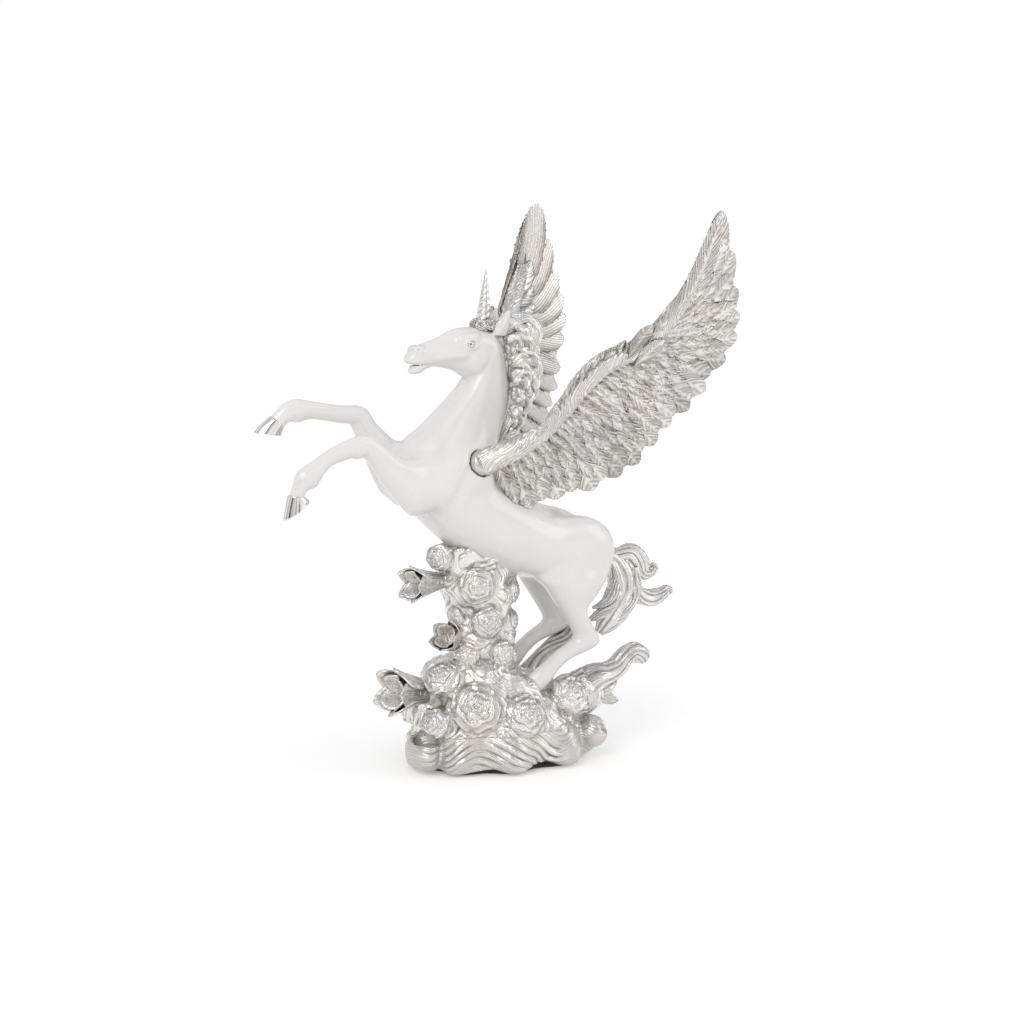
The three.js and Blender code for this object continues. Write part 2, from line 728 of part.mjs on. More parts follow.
function wingPeg(grow) {
  return onPull(PEG_INTO_TRUNK + grow, PEG_INTO_WING + grow, WING_PEG_RADIUS + grow, DOWEL_SIDES);
}

function wingPin(grow) {
  const radius = WING_PIN_RADIUS + grow;
  return onPull(PIN_INTO_TRUNK + grow, PEG_INTO_WING + grow, radius, DOWEL_SIDES, WING_PIN_OFFSET);
}

// Left wing with its boss, and bores for the peg and the pin
function leftWing() {
  return plumage()
    .subtract(horseForm(WING_CLEARANCE))
    .add(boss(0))
    .subtract(wingPeg(GAP))
    .subtract(wingPin(GAP));
}

function geometryOf(solid) {
  const { vertProperties, triVerts } = solid.getMesh();
  const geometry = new THREE.BufferGeometry();
  geometry.setAttribute("position", new THREE.BufferAttribute(vertProperties, 3));
  geometry.setIndex(new THREE.BufferAttribute(triVerts, 1));
  return geometry;
}

// The same solid on the other side
function mirrored(solid) {
  return solidFrom(geometryOf(solid).scale(1, -1, 1));
}

function meshOf(name, solid, finish) {
  const mesh = new THREE.Mesh(geometryOf(solid), new THREE.MeshStandardMaterial(finish));
  mesh.geometry.computeVertexNormals();
  mesh.name = name;
  return mesh;
}

// Solids of the statue, all above the felt
const horseGrown = horseForm(GAP);
const eye = (grow) => solidFrom(
  new THREE.SphereGeometry(EYE_RADIUS + grow, EYE_SIDES, EYE_SIDES / 2).translate(...EYE_AT));
const socket = union([boss(GAP), wingPeg(GAP), wingPin(GAP)]);
const hindHoovesGrown = union([false, true].map((isRight) => hindForm(HIND_HOOF, isRight, GAP)));
const rodBore = upright(-GAP, ROD_TOP + GAP, ROD_RADIUS + GAP);
const shoulderDowel = (spot, grow) => dowel(spot, SHOULDER_DOWEL_RADIUS, SHOULDER_DOWEL_LENGTH, grow);
const tailDowel = (grow) => dowel(TAIL_DOWEL, TAIL_DOWEL_RADIUS, TAIL_DOWEL_LENGTH, grow);

const horse = horseForm(0)
  .subtract(union([
    socket,
    mirrored(socket),
    eye(GAP),
    mirrored(eye(GAP)),
    rodBore,
    shoulderDowel(LEFT_SHOULDER_DOWEL, GAP),
    shoulderDowel(RIGHT_SHOULDER_DOWEL, GAP),
    hindPin(false, GAP),
    hindPin(true, GAP),
    tailDowel(GAP),
  ]));

const washerTop = NUT_RECESS_DEPTH - GAP;
const washerBottom = washerTop - WASHER_THICKNESS;
const nutTop = washerBottom - GAP;

const base = baseForm()
  .subtract(columnCore(GAP))
  .subtract(horseGrown)
  .subtract(hindHoovesGrown)
  .subtract(hindPin(false, GAP))
  .subtract(hindPin(true, GAP))
  .subtract(upright(-GAP, NUT_RECESS_DEPTH, NUT_RECESS_RADIUS))
  .subtract(rodBore);

const column = columnForm()
  .subtract(horseGrown)
  .subtract(hindHoovesGrown)
  .subtract(rodBore);

// Stations with each x turned from a share of a reach into its place
function reaching(stations, reach) {
  const place = (share) => SHOULDER_X - reach * share;
  return stations.map(([front, fz, back, ...rest]) => [place(front), fz, place(back), ...rest]);
}

function foreleg(stations, reach, spot) {
  return profile(reaching(stations, reach), LEG_SIDES)
    .subtract(horseGrown)
    .subtract(shoulderDowel(spot, GAP));
}

function hindHoof(isRight) {
  return hindForm(HIND_HOOF, isRight, 0).subtract(horseGrown).subtract(hindPin(isRight, GAP));
}

function foreHoof(stations, leg, reach) {
  const [hoof, grownLeg] = [[stations, 0], [leg, GAP]]
    .map(([table, grow]) => profile(reaching(table, reach), LEG_SIDES, grow));
  return hoof.subtract(grownLeg);
}

function locks(paths) {
  return union(paths.map((path) => strand(path, { sides: LOCK_SIDES, steps: LOCK_STEPS })));
}

const mane = locks([MANE_CREST, ...MANE_LOCKS]).subtract(horseGrown).subtract(wreathForm(GAP));
const tailSpot = ([back, ...rest]) => [DOCK_X + TAIL_REACH * back, ...rest];
const tailPaths = TAIL_LOCKS.map((path) => path.map(tailSpot));
const tail = locks(tailPaths).subtract(horseGrown).subtract(tailDowel(GAP));

const felt = skin([0, FELT_THICKNESS].map((z) => plinthRing([z, ...PLINTH_RINGS[0].slice(1)], FELT_INSET)));

const statue = new THREE.Group();
statue.position.z = FELT_THICKNESS;
statue.add(
  meshOf("base_casting", base, SILVER),
  meshOf("column_casting", column, SILVER),
  meshOf("column_rod", upright(ROD_BOTTOM, ROD_TOP, ROD_RADIUS), STEEL),
  meshOf("rod_washer", upright(washerBottom, washerTop, WASHER_RADIUS).subtract(rodBore), STEEL),
  meshOf("rod_nut", upright(nutTop - NUT_HEIGHT, nutTop, NUT_RADIUS, NUT_SIDES).subtract(rodBore), STEEL),
  meshOf("horse_body", horse, WHITE),
  meshOf("foreleg_left", foreleg(LEFT_FORELEG, LEFT_FORELEG_REACH, LEFT_SHOULDER_DOWEL), WHITE),
  meshOf("foreleg_right", foreleg(RIGHT_FORELEG, RIGHT_FORELEG_REACH, RIGHT_SHOULDER_DOWEL), WHITE),
  meshOf("foreleg_dowel_left", shoulderDowel(LEFT_SHOULDER_DOWEL, 0), STEEL),
  meshOf("foreleg_dowel_right", shoulderDowel(RIGHT_SHOULDER_DOWEL, 0), STEEL),
  meshOf("hoof_front_left", foreHoof(LEFT_FORE_HOOF, LEFT_FORELEG, LEFT_FORELEG_REACH), SILVER),
  meshOf("hoof_front_right", foreHoof(RIGHT_FORE_HOOF, RIGHT_FORELEG, RIGHT_FORELEG_REACH), SILVER),
  meshOf("hoof_hind_left", hindHoof(false), SILVER),
  meshOf("hoof_hind_right", hindHoof(true), SILVER),
  meshOf("hind_pin_left", hindPin(false, 0), STEEL),
  meshOf("hind_pin_right", hindPin(true, 0), STEEL),
  meshOf("eye_left", eye(0), SILVER),
  meshOf("eye_right", mirrored(eye(0)), SILVER),
  meshOf("horn", hornForm(0).subtract(horseGrown), SILVER),
  meshOf("horn_wreath", wreathForm(0).subtract(hornForm(GAP)).subtract(horseGrown), SILVER),
  meshOf("mane", mane, SILVER),
  meshOf("tail", tail, SILVER),
  meshOf("tail_dowel", tailDowel(0), STEEL),
);

// Each wing with its peg and pin, the right one mirrored
const wing = leftWing();
[["left", 1], ["right", -1]].forEach(([side, flip]) => {
  const group = new THREE.Group();
  group.scale.y = flip;
  group.add(
    meshOf(`wing_${side}`, wing, SILVER),
    meshOf(`wing_${side}_peg`, wingPeg(0), STEEL),
    meshOf(`wing_${side}_pin`, wingPin(0), STEEL),
  );
  statue.add(group);
});

const model = new THREE.Group();
model.add(statue, meshOf("base_felt", felt, FELT));

export default model;
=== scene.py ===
# Rearing winged unicorn statue in white lacquer and plated silver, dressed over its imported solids.
# Lengths are millimetres above the felt, as in the part's source, until piece() makes them metres.
import math

import bpy
import numpy as np
import openvdb
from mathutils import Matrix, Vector


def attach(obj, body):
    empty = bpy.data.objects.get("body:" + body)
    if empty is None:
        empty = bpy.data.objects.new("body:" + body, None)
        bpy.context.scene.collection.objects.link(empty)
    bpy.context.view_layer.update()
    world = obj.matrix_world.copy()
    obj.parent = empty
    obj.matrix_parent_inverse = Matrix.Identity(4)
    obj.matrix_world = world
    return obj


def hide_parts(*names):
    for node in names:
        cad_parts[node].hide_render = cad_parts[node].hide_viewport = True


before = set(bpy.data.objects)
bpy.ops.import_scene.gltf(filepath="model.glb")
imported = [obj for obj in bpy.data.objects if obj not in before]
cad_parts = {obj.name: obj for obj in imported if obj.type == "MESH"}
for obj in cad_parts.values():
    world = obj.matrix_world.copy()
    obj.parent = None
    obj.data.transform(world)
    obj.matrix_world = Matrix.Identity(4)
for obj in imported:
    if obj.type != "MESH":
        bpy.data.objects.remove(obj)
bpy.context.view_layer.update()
scene = bpy.context.scene

MM = 0.001
TAU = 2 * math.pi
FELT_THICKNESS = 2.0
SEEDS = {"base": 5, "column": 8, "wing": 11, "mane": 21, "tail": 23, "wreath": 31, "felt": 41}

# Trunk, neck and head: [upper x, upper z, lower x, lower z, half width, how much wider above]
SPINE = [
    [122, 203, 115, 187, 9, 0], [118, 214, 106, 172, 25, 0], [107, 229, 90, 164, 36, 0],
    [90, 242, 64, 170, 41, 0], [71, 251, 37, 181, 39, -0.05], [50, 257, 11, 188, 39, -0.1],
    [30, 267, -14, 197, 42, -0.12], [12, 281, -39, 211, 44, -0.14], [-1, 296, -63, 228, 44, -0.16],
    [-6, 308, -85, 248, 43, -0.16], [-5, 318, -106, 270, 42, -0.2], [0, 330, -117, 300, 38, -0.22],
    [5, 342, -103, 326, 31, -0.25], [9, 357, -84, 341, 26, -0.25], [11, 375, -64, 359, 23, -0.22],
    [9, 395, -48, 374, 20, -0.15], [5, 412, -38, 385, 18.5, -0.05], [0, 425, -31, 390, 18, 0],
    [-9, 433, -32, 388, 18.5, 0.1], [-22, 437, -40, 389, 18.5, 0.14],
    [-36, 438, -50, 395, 17, 0.16], [-50, 436, -60, 398, 14, 0.1], [-66, 429, -71, 400, 11.5, 0],
    [-80, 424.5, -80, 398, 10.5, -0.05], [-92, 421, -88, 395, 10.5, 0],
    [-98, 414, -94, 400, 7.5, 0],
]

# Legs and ears: [front x, front z, back x, back z, half width, y]
HIND_LEG = [
    [42, 207, 112, 207, 18, -20], [32, 188, 109, 183, 23, -26], [40, 174, 98, 167, 20, -29],
    [50, 159, 85, 152, 15, -30], [60.5, 143, 88.5, 139, 12, -30], [69, 129, 96.5, 125.5, 10.5, -30],
    [70, 122, 100, 117, 11, -30], [63, 117, 92, 110, 10, -30], [54, 112, 66, 101, 8, -30],
    [42, 103, 52.5, 91.5, 7.5, -30], [28, 94, 40.5, 78, 9, -30], [19, 87, 31, 71, 8, -30],
]
LEFT_FORELEG = [
    [-85, 318, -92, 260, 15, -24], [-104, 316, -110, 259, 17, -28],
    [-117, 317, -126, 275, 15.5, -29], [-127, 321.5, -141, 294, 13, -29],
    [-139, 331, -152, 311, 11, -29], [-149, 339, -160, 318.5, 10.5, -29],
    [-160, 341, -167, 317.5, 10.5, -29], [-172, 338.5, -175, 318.5, 9, -29],
    [-192, 331, -195, 312, 7.5, -29], [-213, 319, -205, 300, 8, -29],
    [-228, 309.5, -209, 294, 9, -29], [-232.5, 298, -219, 290.5, 7.2, -29],
    [-237, 286, -222, 284, 7.2, -29],
]
RIGHT_FORELEG = [
    [-85, 325, -100, 262, 15, 24], [-100, 327, -118, 280, 16, 28], [-112, 337, -131, 308, 13, 29],
    [-122, 347, -141, 331, 11, 29], [-129, 358, -146, 342, 10.5, 29],
    [-139, 363, -150, 345, 10.5, 29], [-157, 364, -160, 346.5, 8.5, 29],
    [-188, 369.5, -188, 351.5, 7.5, 29], [-204, 372.5, -203, 349, 9, 29],
    [-218, 368, -212, 350, 7.6, 29], [-232, 355, -219, 342.5, 7.2, 29],
]
EAR = [
    [-12, 430, 4, 428, 4, -10], [-8, 440, 6, 436, 5, -12], [0, 449, 7, 446, 3.5, -13],
    [5, 455, 7, 453, 1, -13.5],
]

# How far the right hind leg stands from the left one, in x and z
RIGHT_HIND_SHIFT = (-2, 8)

# Left wing's socket and tip, the way it pulls out, and the left eye
WING_ROOT = np.array([-39.0, -38.0, 307.0])
WING_TIP = np.array([144.0, -182.0, 553.0])
PULL = np.array([0.20006, -0.870261, 0.450135])
EYE = np.array([-38.0, -16.0, 422.0])


def draws(name):
    """Random draws of one surface, the same each run."""
    return np.random.default_rng(SEEDS[name])


def unit(v):
    return v / np.linalg.norm(v, axis=-1, keepdims=True)


def circle(sides):
    """Angles of points round a ring."""
    return np.linspace(0, TAU, sides, endpoint=False)


def smooth_step(low, high, x):
    t = np.clip((x - low) / (high - low), 0, 1)
    return t * t * (3 - 2 * t)


def refine(stations, steps):
    """Catmull-Rom blend of rows of numbers, with steps in each span."""
    rows = np.asarray(stations, float)
    place = np.linspace(0, len(rows) - 1, (len(rows) - 1) * steps + 1)
    i = np.minimum(place.astype(int), len(rows) - 2)
    t = (place - i)[:, None]
    a, b, c, d = (rows[np.clip(i + k, 0, len(rows) - 1)] for k in (-1, 0, 1, 2))
    return b + 0.5 * t * (c - a + t * (2 * a - 5 * b + 4 * c - d + t * (3 * (b - c) + d - a)))


class Surface:
    """Points and faces of one piece, with each point's painted shade for its depth in a recess and
    count of grain.
    """

    def __init__(self):
        self.points, self.quads, self.tris, self.depths, self.grains = [], [], [], [], []
        self.count = 0

    def add(self, points, quads, tris=None, depth=0.0, grain=0.5):
        """Adds a closed shell, turned so that its faces point out."""
        points, quads = np.asarray(points, float).reshape(-1, 3), np.asarray(quads)
        tris = np.zeros((0, 3), int) if tris is None else np.asarray(tris)
        fan = np.concatenate([quads[:, :3], quads[:, [0, 2, 3]], tris])
        a, b, c = (points[fan[:, k]] - points[0] for k in range(3))
        if np.einsum("ij,ij", a, np.cross(b, c)) < 0:
            quads, tris = quads[:, ::-1], tris[:, ::-1]
        self.points.append(points)
        self.quads.append(quads + self.count)
        self.tris.append(tris + self.count)
        self.depths.append(spread_over(depth, len(points)))
        self.grains.append(spread_over(grain, len(points)))
        self.count += len(points)
        return self

    def mirrored(self):
        other = Surface()
        other.points = [p * [1, -1, 1] for p in self.points]
        other.quads = [q[:, ::-1] for q in self.quads]
        other.tris = [t[:, ::-1] for t in self.tris]
        other.depths, other.grains, other.count = self.depths, self.grains, self.count
        return other


def spread_over(values, count):
    """One value for all points, or a grid's values, the caps' middles taking the first and last."""
    flat = np.asarray(values, float).ravel()
    if len(flat) == count - 2:
        flat = np.concatenate([flat, flat[:1], flat[-1:]])
    return np.broadcast_to(flat, count)


def piece(name, surface, material, body, nodes):
    """Turns a surface into an object that rides on a body and stands for CAD nodes."""
    points = np.concatenate(surface.points) * MM
    points[:, 2] += FELT_THICKNESS * MM
    faces = [face for part in surface.quads + surface.tris for face in part.tolist()]
    mesh = bpy.data.meshes.new(name)
    mesh.from_pydata(points.tolist(), [], faces)
    mesh.validate()
    mesh.shade_smooth()
    # Painted shade and grain go to the silver material as point attributes
    for key, values in (("depth", surface.depths), ("grain", surface.grains)):
        attribute = mesh.attributes.new(key, "FLOAT", "POINT")
        attribute.data.foreach_set("value", np.concatenate(values).astype(np.float32))
    obj = bpy.data.objects.new(name, mesh)
    scene.collection.objects.link(obj)
    mesh.materials.append(material)
    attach(obj, body)
    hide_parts(*nodes)
    return obj


def capped(rings):
    """Points, quads and triangles of rings closed by a fan at each end."""
    rows, columns, _ = rings.shape
    points = np.concatenate([rings.reshape(-1, 3), [rings[0].mean(0), rings[-1].mean(0)]])
    i = np.arange(columns)
    n = (i + 1) % columns
    row = np.arange(rows - 1)[:, None] * columns
    quads = np.stack([row + i, row + n, row + columns + n, row + columns + i], -1).reshape(-1, 4)
    last = (rows - 1) * columns
    first_fan = np.stack([n, i, np.full(columns, rows * columns)], 1)
    last_fan = np.stack([last + i, last + n, np.full(columns, rows * columns + 1)], 1)
    return points, quads, np.concatenate([first_fan, last_fan])


def leg_rows(rows, dx=0, dz=0, side=1):
    """Rows of a leg, moved or on the other side, for profile_rings."""
    return [[fx + dx, fz + dz, bx + dx, bz + dz, wide, y * side, 0]
            for fx, fz, bx, bz, wide, y in rows]


def profile_rings(stations, sides, steps):
    """Rings between two lines in side view: rows are [fx, fz, bx, bz, half width, y, taper]."""
    fx, fz, bx, bz, wide, y, taper = (c[:, None] for c in refine(stations, steps).T)
    turn = circle(sides)[None]
    up, out = np.cos(turn), np.sin(turn)
    x = (fx + bx) / 2 + (fx - bx) / 2 * up
    z = (fz + bz) / 2 + (fz - bz) / 2 * up
    return np.stack([x, y + wide * out * (1 + taper * up), z], -1)


def turned(profile, at, axis, sides):
    """Points, quads and triangles of a turned form: rows are [radius, place along the axis]."""
    axis = unit(np.asarray(axis, float))
    first = unit(np.cross(axis, [0.3, 0.1, 1.0]))
    turn = circle(sides)[:, None]
    rim = np.cos(turn) * first + np.sin(turn) * np.cross(axis, first)
    return capped(np.array([np.asarray(at) + axis * z + r * rim for r, z in profile]))


# Forms as distances on a grid, kept for so many voxels on each side of the skin
BAND = 9


def soft_min(a, b, soft):
    near = np.maximum(soft - np.abs(a - b), 0) / soft
    return np.minimum(a, b) - near * near * soft / 4


def both_sides(*spots):
    """The spots, and again mirrored if any of them is off the middle plane."""
    spots = [np.asarray(spot, float) for spot in spots]
    yield spots
    if any(spot[1] for spot in spots):
        yield [spot * [1, -1, 1] for spot in spots]


class Field:
    """Signed distances in millimetres from a skin, negative inside, joined and cut softly."""

    def __init__(self, low, high, voxel):
        self.low, self.voxel = np.array(low, float), voxel
        shape = np.ceil((np.array(high) - self.low) / voxel).astype(int)
        self.values = np.full(shape, BAND * voxel, np.float32)

    def window(self, low, high, origin=(0, 0, 0)):
        """Slices of the grid that hold a box, and the places there along each axis from a point."""
        first = np.maximum(((np.asarray(low) - self.low) / self.voxel).astype(int), 0)
        last = ((np.asarray(high) - self.low) / self.voxel).astype(int) + 2
        last = np.minimum(last, self.values.shape)
        slices = tuple(slice(a, b) for a, b in zip(first, last))
        steps = (np.arange(a, b, dtype=np.float32) for a, b in zip(first, last))
        axes = [at + self.voxel * step - o for at, step, o in zip(self.low, steps, origin)]
        return slices, np.ix_(*axes)

    def put(self, slices, other, soft, cutting=False):
        """Joins or cuts other distances."""
        sign = -1 if cutting else 1
        self.values[slices] = sign * soft_min(sign * self.values[slices], other, soft)

    def loft(self, rings, soft):
        """Joins a closed loft."""
        points, quads, tris = capped(rings)
        reach = BAND * self.voxel
        slices, _ = self.window(points.min(0) - reach, points.max(0) + reach)
        grid = openvdb.FloatGrid.createLevelSetFromPolygons(
            points=(points - self.low).astype(np.float32), triangles=tris.astype(np.uint32),
            quads=quads.astype(np.uint32), halfWidth=BAND,
            transform=openvdb.createLinearTransform(voxelSize=self.voxel))
        other = np.empty(self.values[slices].shape, np.float32)
        grid.copyToArray(other, ijk=tuple(s.start for s in slices))
        self.put(slices, other, soft)

    def ball(self, at, axes, radii, soft, cutting=False):
        """Joins or cuts an ellipsoid with its own axes."""
        at, radii = np.asarray(at, float), np.asarray(radii, float)
        reach = radii.max() + soft + 2
        slices, (x, y, z) = self.window(at - reach, at + reach, at)
        parts = (((a[0] * x + a[1] * y + a[2] * z) / r) ** 2 for a, r in zip(axes, radii))
        other = (np.sqrt(sum(parts)) - 1) * radii.min()
        self.put(slices, other.astype(np.float32), soft, cutting)

    def blob(self, at, radii, tilt, soft, cutting=False):
        """Joins or cuts an ellipsoid tilted in side view by degrees, on both sides."""
        c, s = math.cos(math.radians(tilt)), math.sin(math.radians(tilt))
        for (spot,) in both_sides(at):
            self.ball(spot, [[c, 0, s], [0, 1, 0], [-s, 0, c]], radii, soft, cutting)

    def bar(self, a, b, radius, soft, cutting=False):
        """Joins or cuts a round-ended bar, on both sides."""
        for p, q in both_sides(a, b):
            reach = radius + soft + 2
            low, high = np.minimum(p, q) - reach, np.maximum(p, q) + reach
            slices, (x, y, z) = self.window(low, high, p)
            u, v, w = q - p
            t = np.clip((x * u + y * v + z * w) / ((q - p) @ (q - p)), 0, 1)
            far = np.sqrt((x - t * u) ** 2 + (y - t * v) ** 2 + (z - t * w) ** 2)
            self.put(slices, (far - radius).astype(np.float32), soft, cutting)

    def bore(self, at, axis, inward, outward, radius):
        """Cuts a round bore along an axis, on both sides."""
        for spot, line in both_sides(at, axis):
            reach = max(inward, outward, radius) + 3
            slices, (x, y, z) = self.window(spot - reach, spot + reach, spot)
            along = x * line[0] + y * line[1] + z * line[2]
            off = np.sqrt(np.maximum(x * x + y * y + z * z - along * along, 0))
            other = np.maximum(off - radius, np.maximum(-inward - along, along - outward))
            self.put(slices, other.astype(np.float32), soft=0.8, cutting=True)

    def distances(self, points):
        """Distances at points, blended between the corners of the grid."""
        place = np.clip((points - self.low) / self.voxel, 0, np.array(self.values.shape) - 1.001)
        i = place.astype(int)
        part = place - i
        total = 0
        for corner in np.ndindex(2, 2, 2):
            weight = np.prod(np.where(corner, part, 1 - part), axis=1)
            total = total + weight * self.values[tuple((i + corner).T)]
        return total

    def skin(self):
        """Points and quads of the skin."""
        grid = openvdb.FloatGrid(BAND * self.voxel)
        grid.copyFromArray(self.values)
        points, _, quads = grid.convertToPolygons(isovalue=0.0)
        return points * self.voxel + self.low, quads.astype(int)


def horse_field():
    """White horse. Blobs have a middle, half sizes, tilt and softness, and bars two ends, a radius
    and softness."""
    field = Field((-260, -60, 62), (134, 60, 468), voxel=1.3)
    spine = [[*row[:5], 0, row[5]] for row in SPINE]
    field.loft(profile_rings(spine, sides=56, steps=5), soft=1)

    # Muscles under the skin, before the legs join
    field.blob((-62, -34, 292), (46, 12, 22), 14, 7)
    field.blob((-108, -13, 290), (12, 12, 20), 20, 6)
    field.blob((84, -27, 214), (36, 17, 30), -30, 9)
    field.blob((20, -30, 226), (50, 14, 24), -33, 14)
    for rows in (leg_rows(HIND_LEG), leg_rows(HIND_LEG, *RIGHT_HIND_SHIFT, side=-1),
                 leg_rows(LEFT_FORELEG), leg_rows(RIGHT_FORELEG)):
        field.loft(profile_rings(rows, sides=32, steps=5), soft=7)

    # Creases behind the shoulder, in front of the chest and down the neck
    field.bar((-50, -47, 312), (-74, -46, 262), 1.7, 9, cutting=True)
    field.bar((-120, 0, 296), (-106, 0, 262), 2.2, 8, cutting=True)
    field.bar((-38, -21, 393), (-92, -40, 322), 1.9, 10, cutting=True)
    field.bar((2, -15, 412), (4, -22, 350), 1.6, 7, cutting=True)

    # Head: cheeks, brows, cheek ridges, nostrils, lips and mouth
    field.blob((-24, -11, 406), (16.5, 8.8, 16), 0, 1.6)
    field.bar((-47, -13, 427.5), (-31, -15.5, 429), 3.4, 4)
    field.bar((-45, -13.5, 412), (-67, -9.5, 410.5), 3, 5)
    field.blob((-90, -6.8, 417), (6, 4.6, 5), 20, 3)
    field.blob((-91, -11, 417.2), (3.4, 2.6, 2.0), 30, 1.6, cutting=True)
    field.blob((-91, 0, 397.5), (7.5, 7.5, 4), 8, 3)
    field.blob((-97, 0, 408), (5, 8, 5), 0, 4)
    field.bar((-106, -14, 402), (-106, 14, 402), 2.2, 1, cutting=True)
    for step in range(12):
        x, z = -104 + 2.1 * step, 402.2 + 0.13 * step
        field.bar((x, 0, z), (x, 13, z), 1.3 - 0.06 * step, 0.8, cutting=True)

    # Crease behind the jaw
    jaw = [(-38, -17.5, 389), (-27, -19.5, 393), (-19.5, -20, 403), (-16, -19.5, 418)]
    for a, b in zip(jaw, jaw[1:]):
        field.bar(a, b, 1.1, 2.5, cutting=True)

    # Eyes: a bulge with an almond opening
    field.blob(EYE, (7.4, 5.6, 6), 8, 3)
    field.blob(EYE + [0, -5.5, 0], (6, 5.2, 3.4), 10, 1.0, cutting=True)

    # Ears with a hollow front
    for side in (1, -1):
        field.loft(profile_rings(leg_rows(EAR, side=side), sides=24, steps=6), soft=2.5)
    field.blob((-4.5, -14.5, 443), (2.6, 2.6, 8), -28, 1.2, cutting=True)

    # Wing sockets, with room round the boss, the peg and the pin
    field.bore(WING_ROOT, PULL, inward=6.4, outward=30, radius=13.4)
    field.bore(WING_ROOT, PULL, inward=20.4, outward=4, radius=4.5)
    field.bore(PIN_ROOT, PULL, inward=10.4, outward=4, radius=3.0)
    return field


def tube(path, wide, deep, across, sides, relief, twist=0.0):
    """Closed tube, wound by twist turns. relief(t, turn) gives heights, painted shade and grain."""
    path = np.asarray(path, float)
    tangent = unit(np.gradient(path, axis=0))
    down = unit(np.cross(tangent, across))
    out = np.cross(down, tangent)
    t = np.linspace(0, 1, len(path))[:, None]
    turn = circle(sides)[None] + twist * TAU * t
    height, depth, grain = relief(t, turn)
    wide, deep = np.reshape(wide, (-1, 1)), np.reshape(deep, (-1, 1))
    height = height * np.minimum(1, np.minimum(wide, deep) / 4)
    a = ((deep + height) * np.cos(turn))[..., None] * down[:, None]
    b = ((wide + height) * np.sin(turn))[..., None] * out[:, None]
    return *capped(path[:, None] + a + b), depth, grain


def hair(strands, twist, height, rng, shade):
    """Relief of long hair grooves that wind along a lock, with painted shade in the grooves."""
    shift, wave = rng.uniform(0, TAU, 3), rng.uniform(0.6, 1.3)

    def relief(t, turn):
        lean = turn + twist * TAU * t + 0.35 * wave * np.sin(TAU * 1.2 * t + shift[0])
        sway = 0.8 * np.sin(2 * turn + 9 * t + shift[1])
        coarse = np.abs(np.sin(strands / 2 * lean + sway)) ** 0.7 * 2 - 1.2
        fine = np.sin(3 * strands * lean + shift[2] + 2 * sway)
        level = coarse + 0.22 * fine
        # Painted shade in the grooves between strands, offset by shade
        depth = np.clip(shade - 0.55 * level, 0, 1)
        return height * level, depth, lean * strands * 0.8 + sway

    return relief


def lock(surface, stations, rng, sides, steps=14, strands=9, twist=0.1, height=1.2, shade=0.35):
    """Adds a curling lock of hair: rows are [x, y, z, half width, half depth]."""
    rows = refine(stations, steps)
    relief = hair(strands, twist, height, rng, shade)
    surface.add(*tube(rows[:, :3], rows[:, 3], rows[:, 4], np.array([0, 1.0, 0]), sides, relief))


# Wings, drawn flat: along the span, across it and out of its outer face
DRAWN_SPAN = 338.0
WING_BOW = 24.0
WING_REACH = WING_TIP - WING_ROOT
WING_SPAN = unit(WING_REACH)
WING_CHORD = unit(np.array([-WING_SPAN[2], 0.0, WING_SPAN[0]]))
WING_NORMAL = np.cross(WING_SPAN, WING_CHORD)

# Foot of the locating pin beside the peg, and how far the feathers stay off the horse
PIN_OFFSET = 8
PIN_ROOT = WING_ROOT + PIN_OFFSET * unit(np.cross(PULL, [0, 1.0, 0]))
WING_GAP, CLEARING_STEPS = 0.5, 8

# Arm of the wing: [along, across, out, radius]
ARM = [
    [0, 0, 1, 13], [28, -13, 1, 12], [50, -20, 1, 9.5], [70, -24, 1, 8], [88, -20, 1, 9],
    [103, -18, 1, 9.5], [126, -13, 1, 11], [151, -11, 1, 11], [172, -17, 1, 10.5],
    [194, -27, 1, 9.5], [213, -28, 0, 9], [236, -26, 0, 9], [257, -24, 0, 7.5], [275, -20, 0, 4],
]
ARM_TWIST = 2.0
ARM_STROKES = 26

# Flight feathers from wing tip to root: [root along, root across, tip along, tip across, bend]
FLIGHT_FEATHERS = [
    [240, -34, 338, 0, -7], [230, -36, 317, -34, -5], [219, -37, 294, -62, -4],
    [208, -37, 277, -81, -3], [197, -36, 260, -94, -1], [186, -33, 236, -102, 0],
    [172, -27, 200, -110, 1], [157, -22, 175, -113, 2], [142, -21, 150, -112, 2],
    [124, -21, 126, -117, 3], [104, -25, 99, -121, 3], [85, -26, 77, -118, 3],
    [63, -28, 50, -110, 3], [42, -26, 21, -90, 3], [20, -20, -6, -74, 2],
]
LAST_FLIGHT = len(FLIGHT_FEATHERS) - 1
FILLER_REACH = 0.93

# Half width of the flights, of the one at the wing tip, and the step from one to the next there
FLIGHT_HALF, TIP_HALF, HALF_STEP = 17, 14.5, 1.5

# Rows of short feathers on the outer face: [count, reach as a share of the flights, half width,
# lift, rows of points]
COVERT_ROWS = [
    [22, 0.78, 10.5, 2.0, 46], [26, 0.62, 9, 3.0, 39], [30, 0.47, 7.5, 4.0, 29],
    [34, 0.33, 6.5, 5.0, 20], [36, 0.2, 5.5, 6.2, 14],
]

# Leading feather of the hand and the two leaves at its root, as the flights
HAND_FEATHER = [196, -25, 336, 1, -9]
HAND_LEAVES = [[176, -20, 218, -12, 1], [174, -31, 214, -33, 1]]

# How many small feathers lie on the inner face, the edge of the hand and the arm
INNER_FEATHERS, FRAYS, TUFTS = 14, 42, 30
TUFT_START, TUFT_STEP = 92, 4.2
LEAF_LIFTS = (10.5, 9.5)

# Blade inside the plumage: its half thickness, and its reach as a share of the flights
BLADE_HALF, BLADE_REACH = 1.5, 0.5

# Short feathers over the root: [spot, half width, lift]
ROOT_FEATHERS = [
    [[14, -2, -4, -40, 1], 7, 4.5], [[18, -4, -9, -58, 1], 8, 3.5], [[28, -8, -4, -67, 1], 9, 2.5],
]

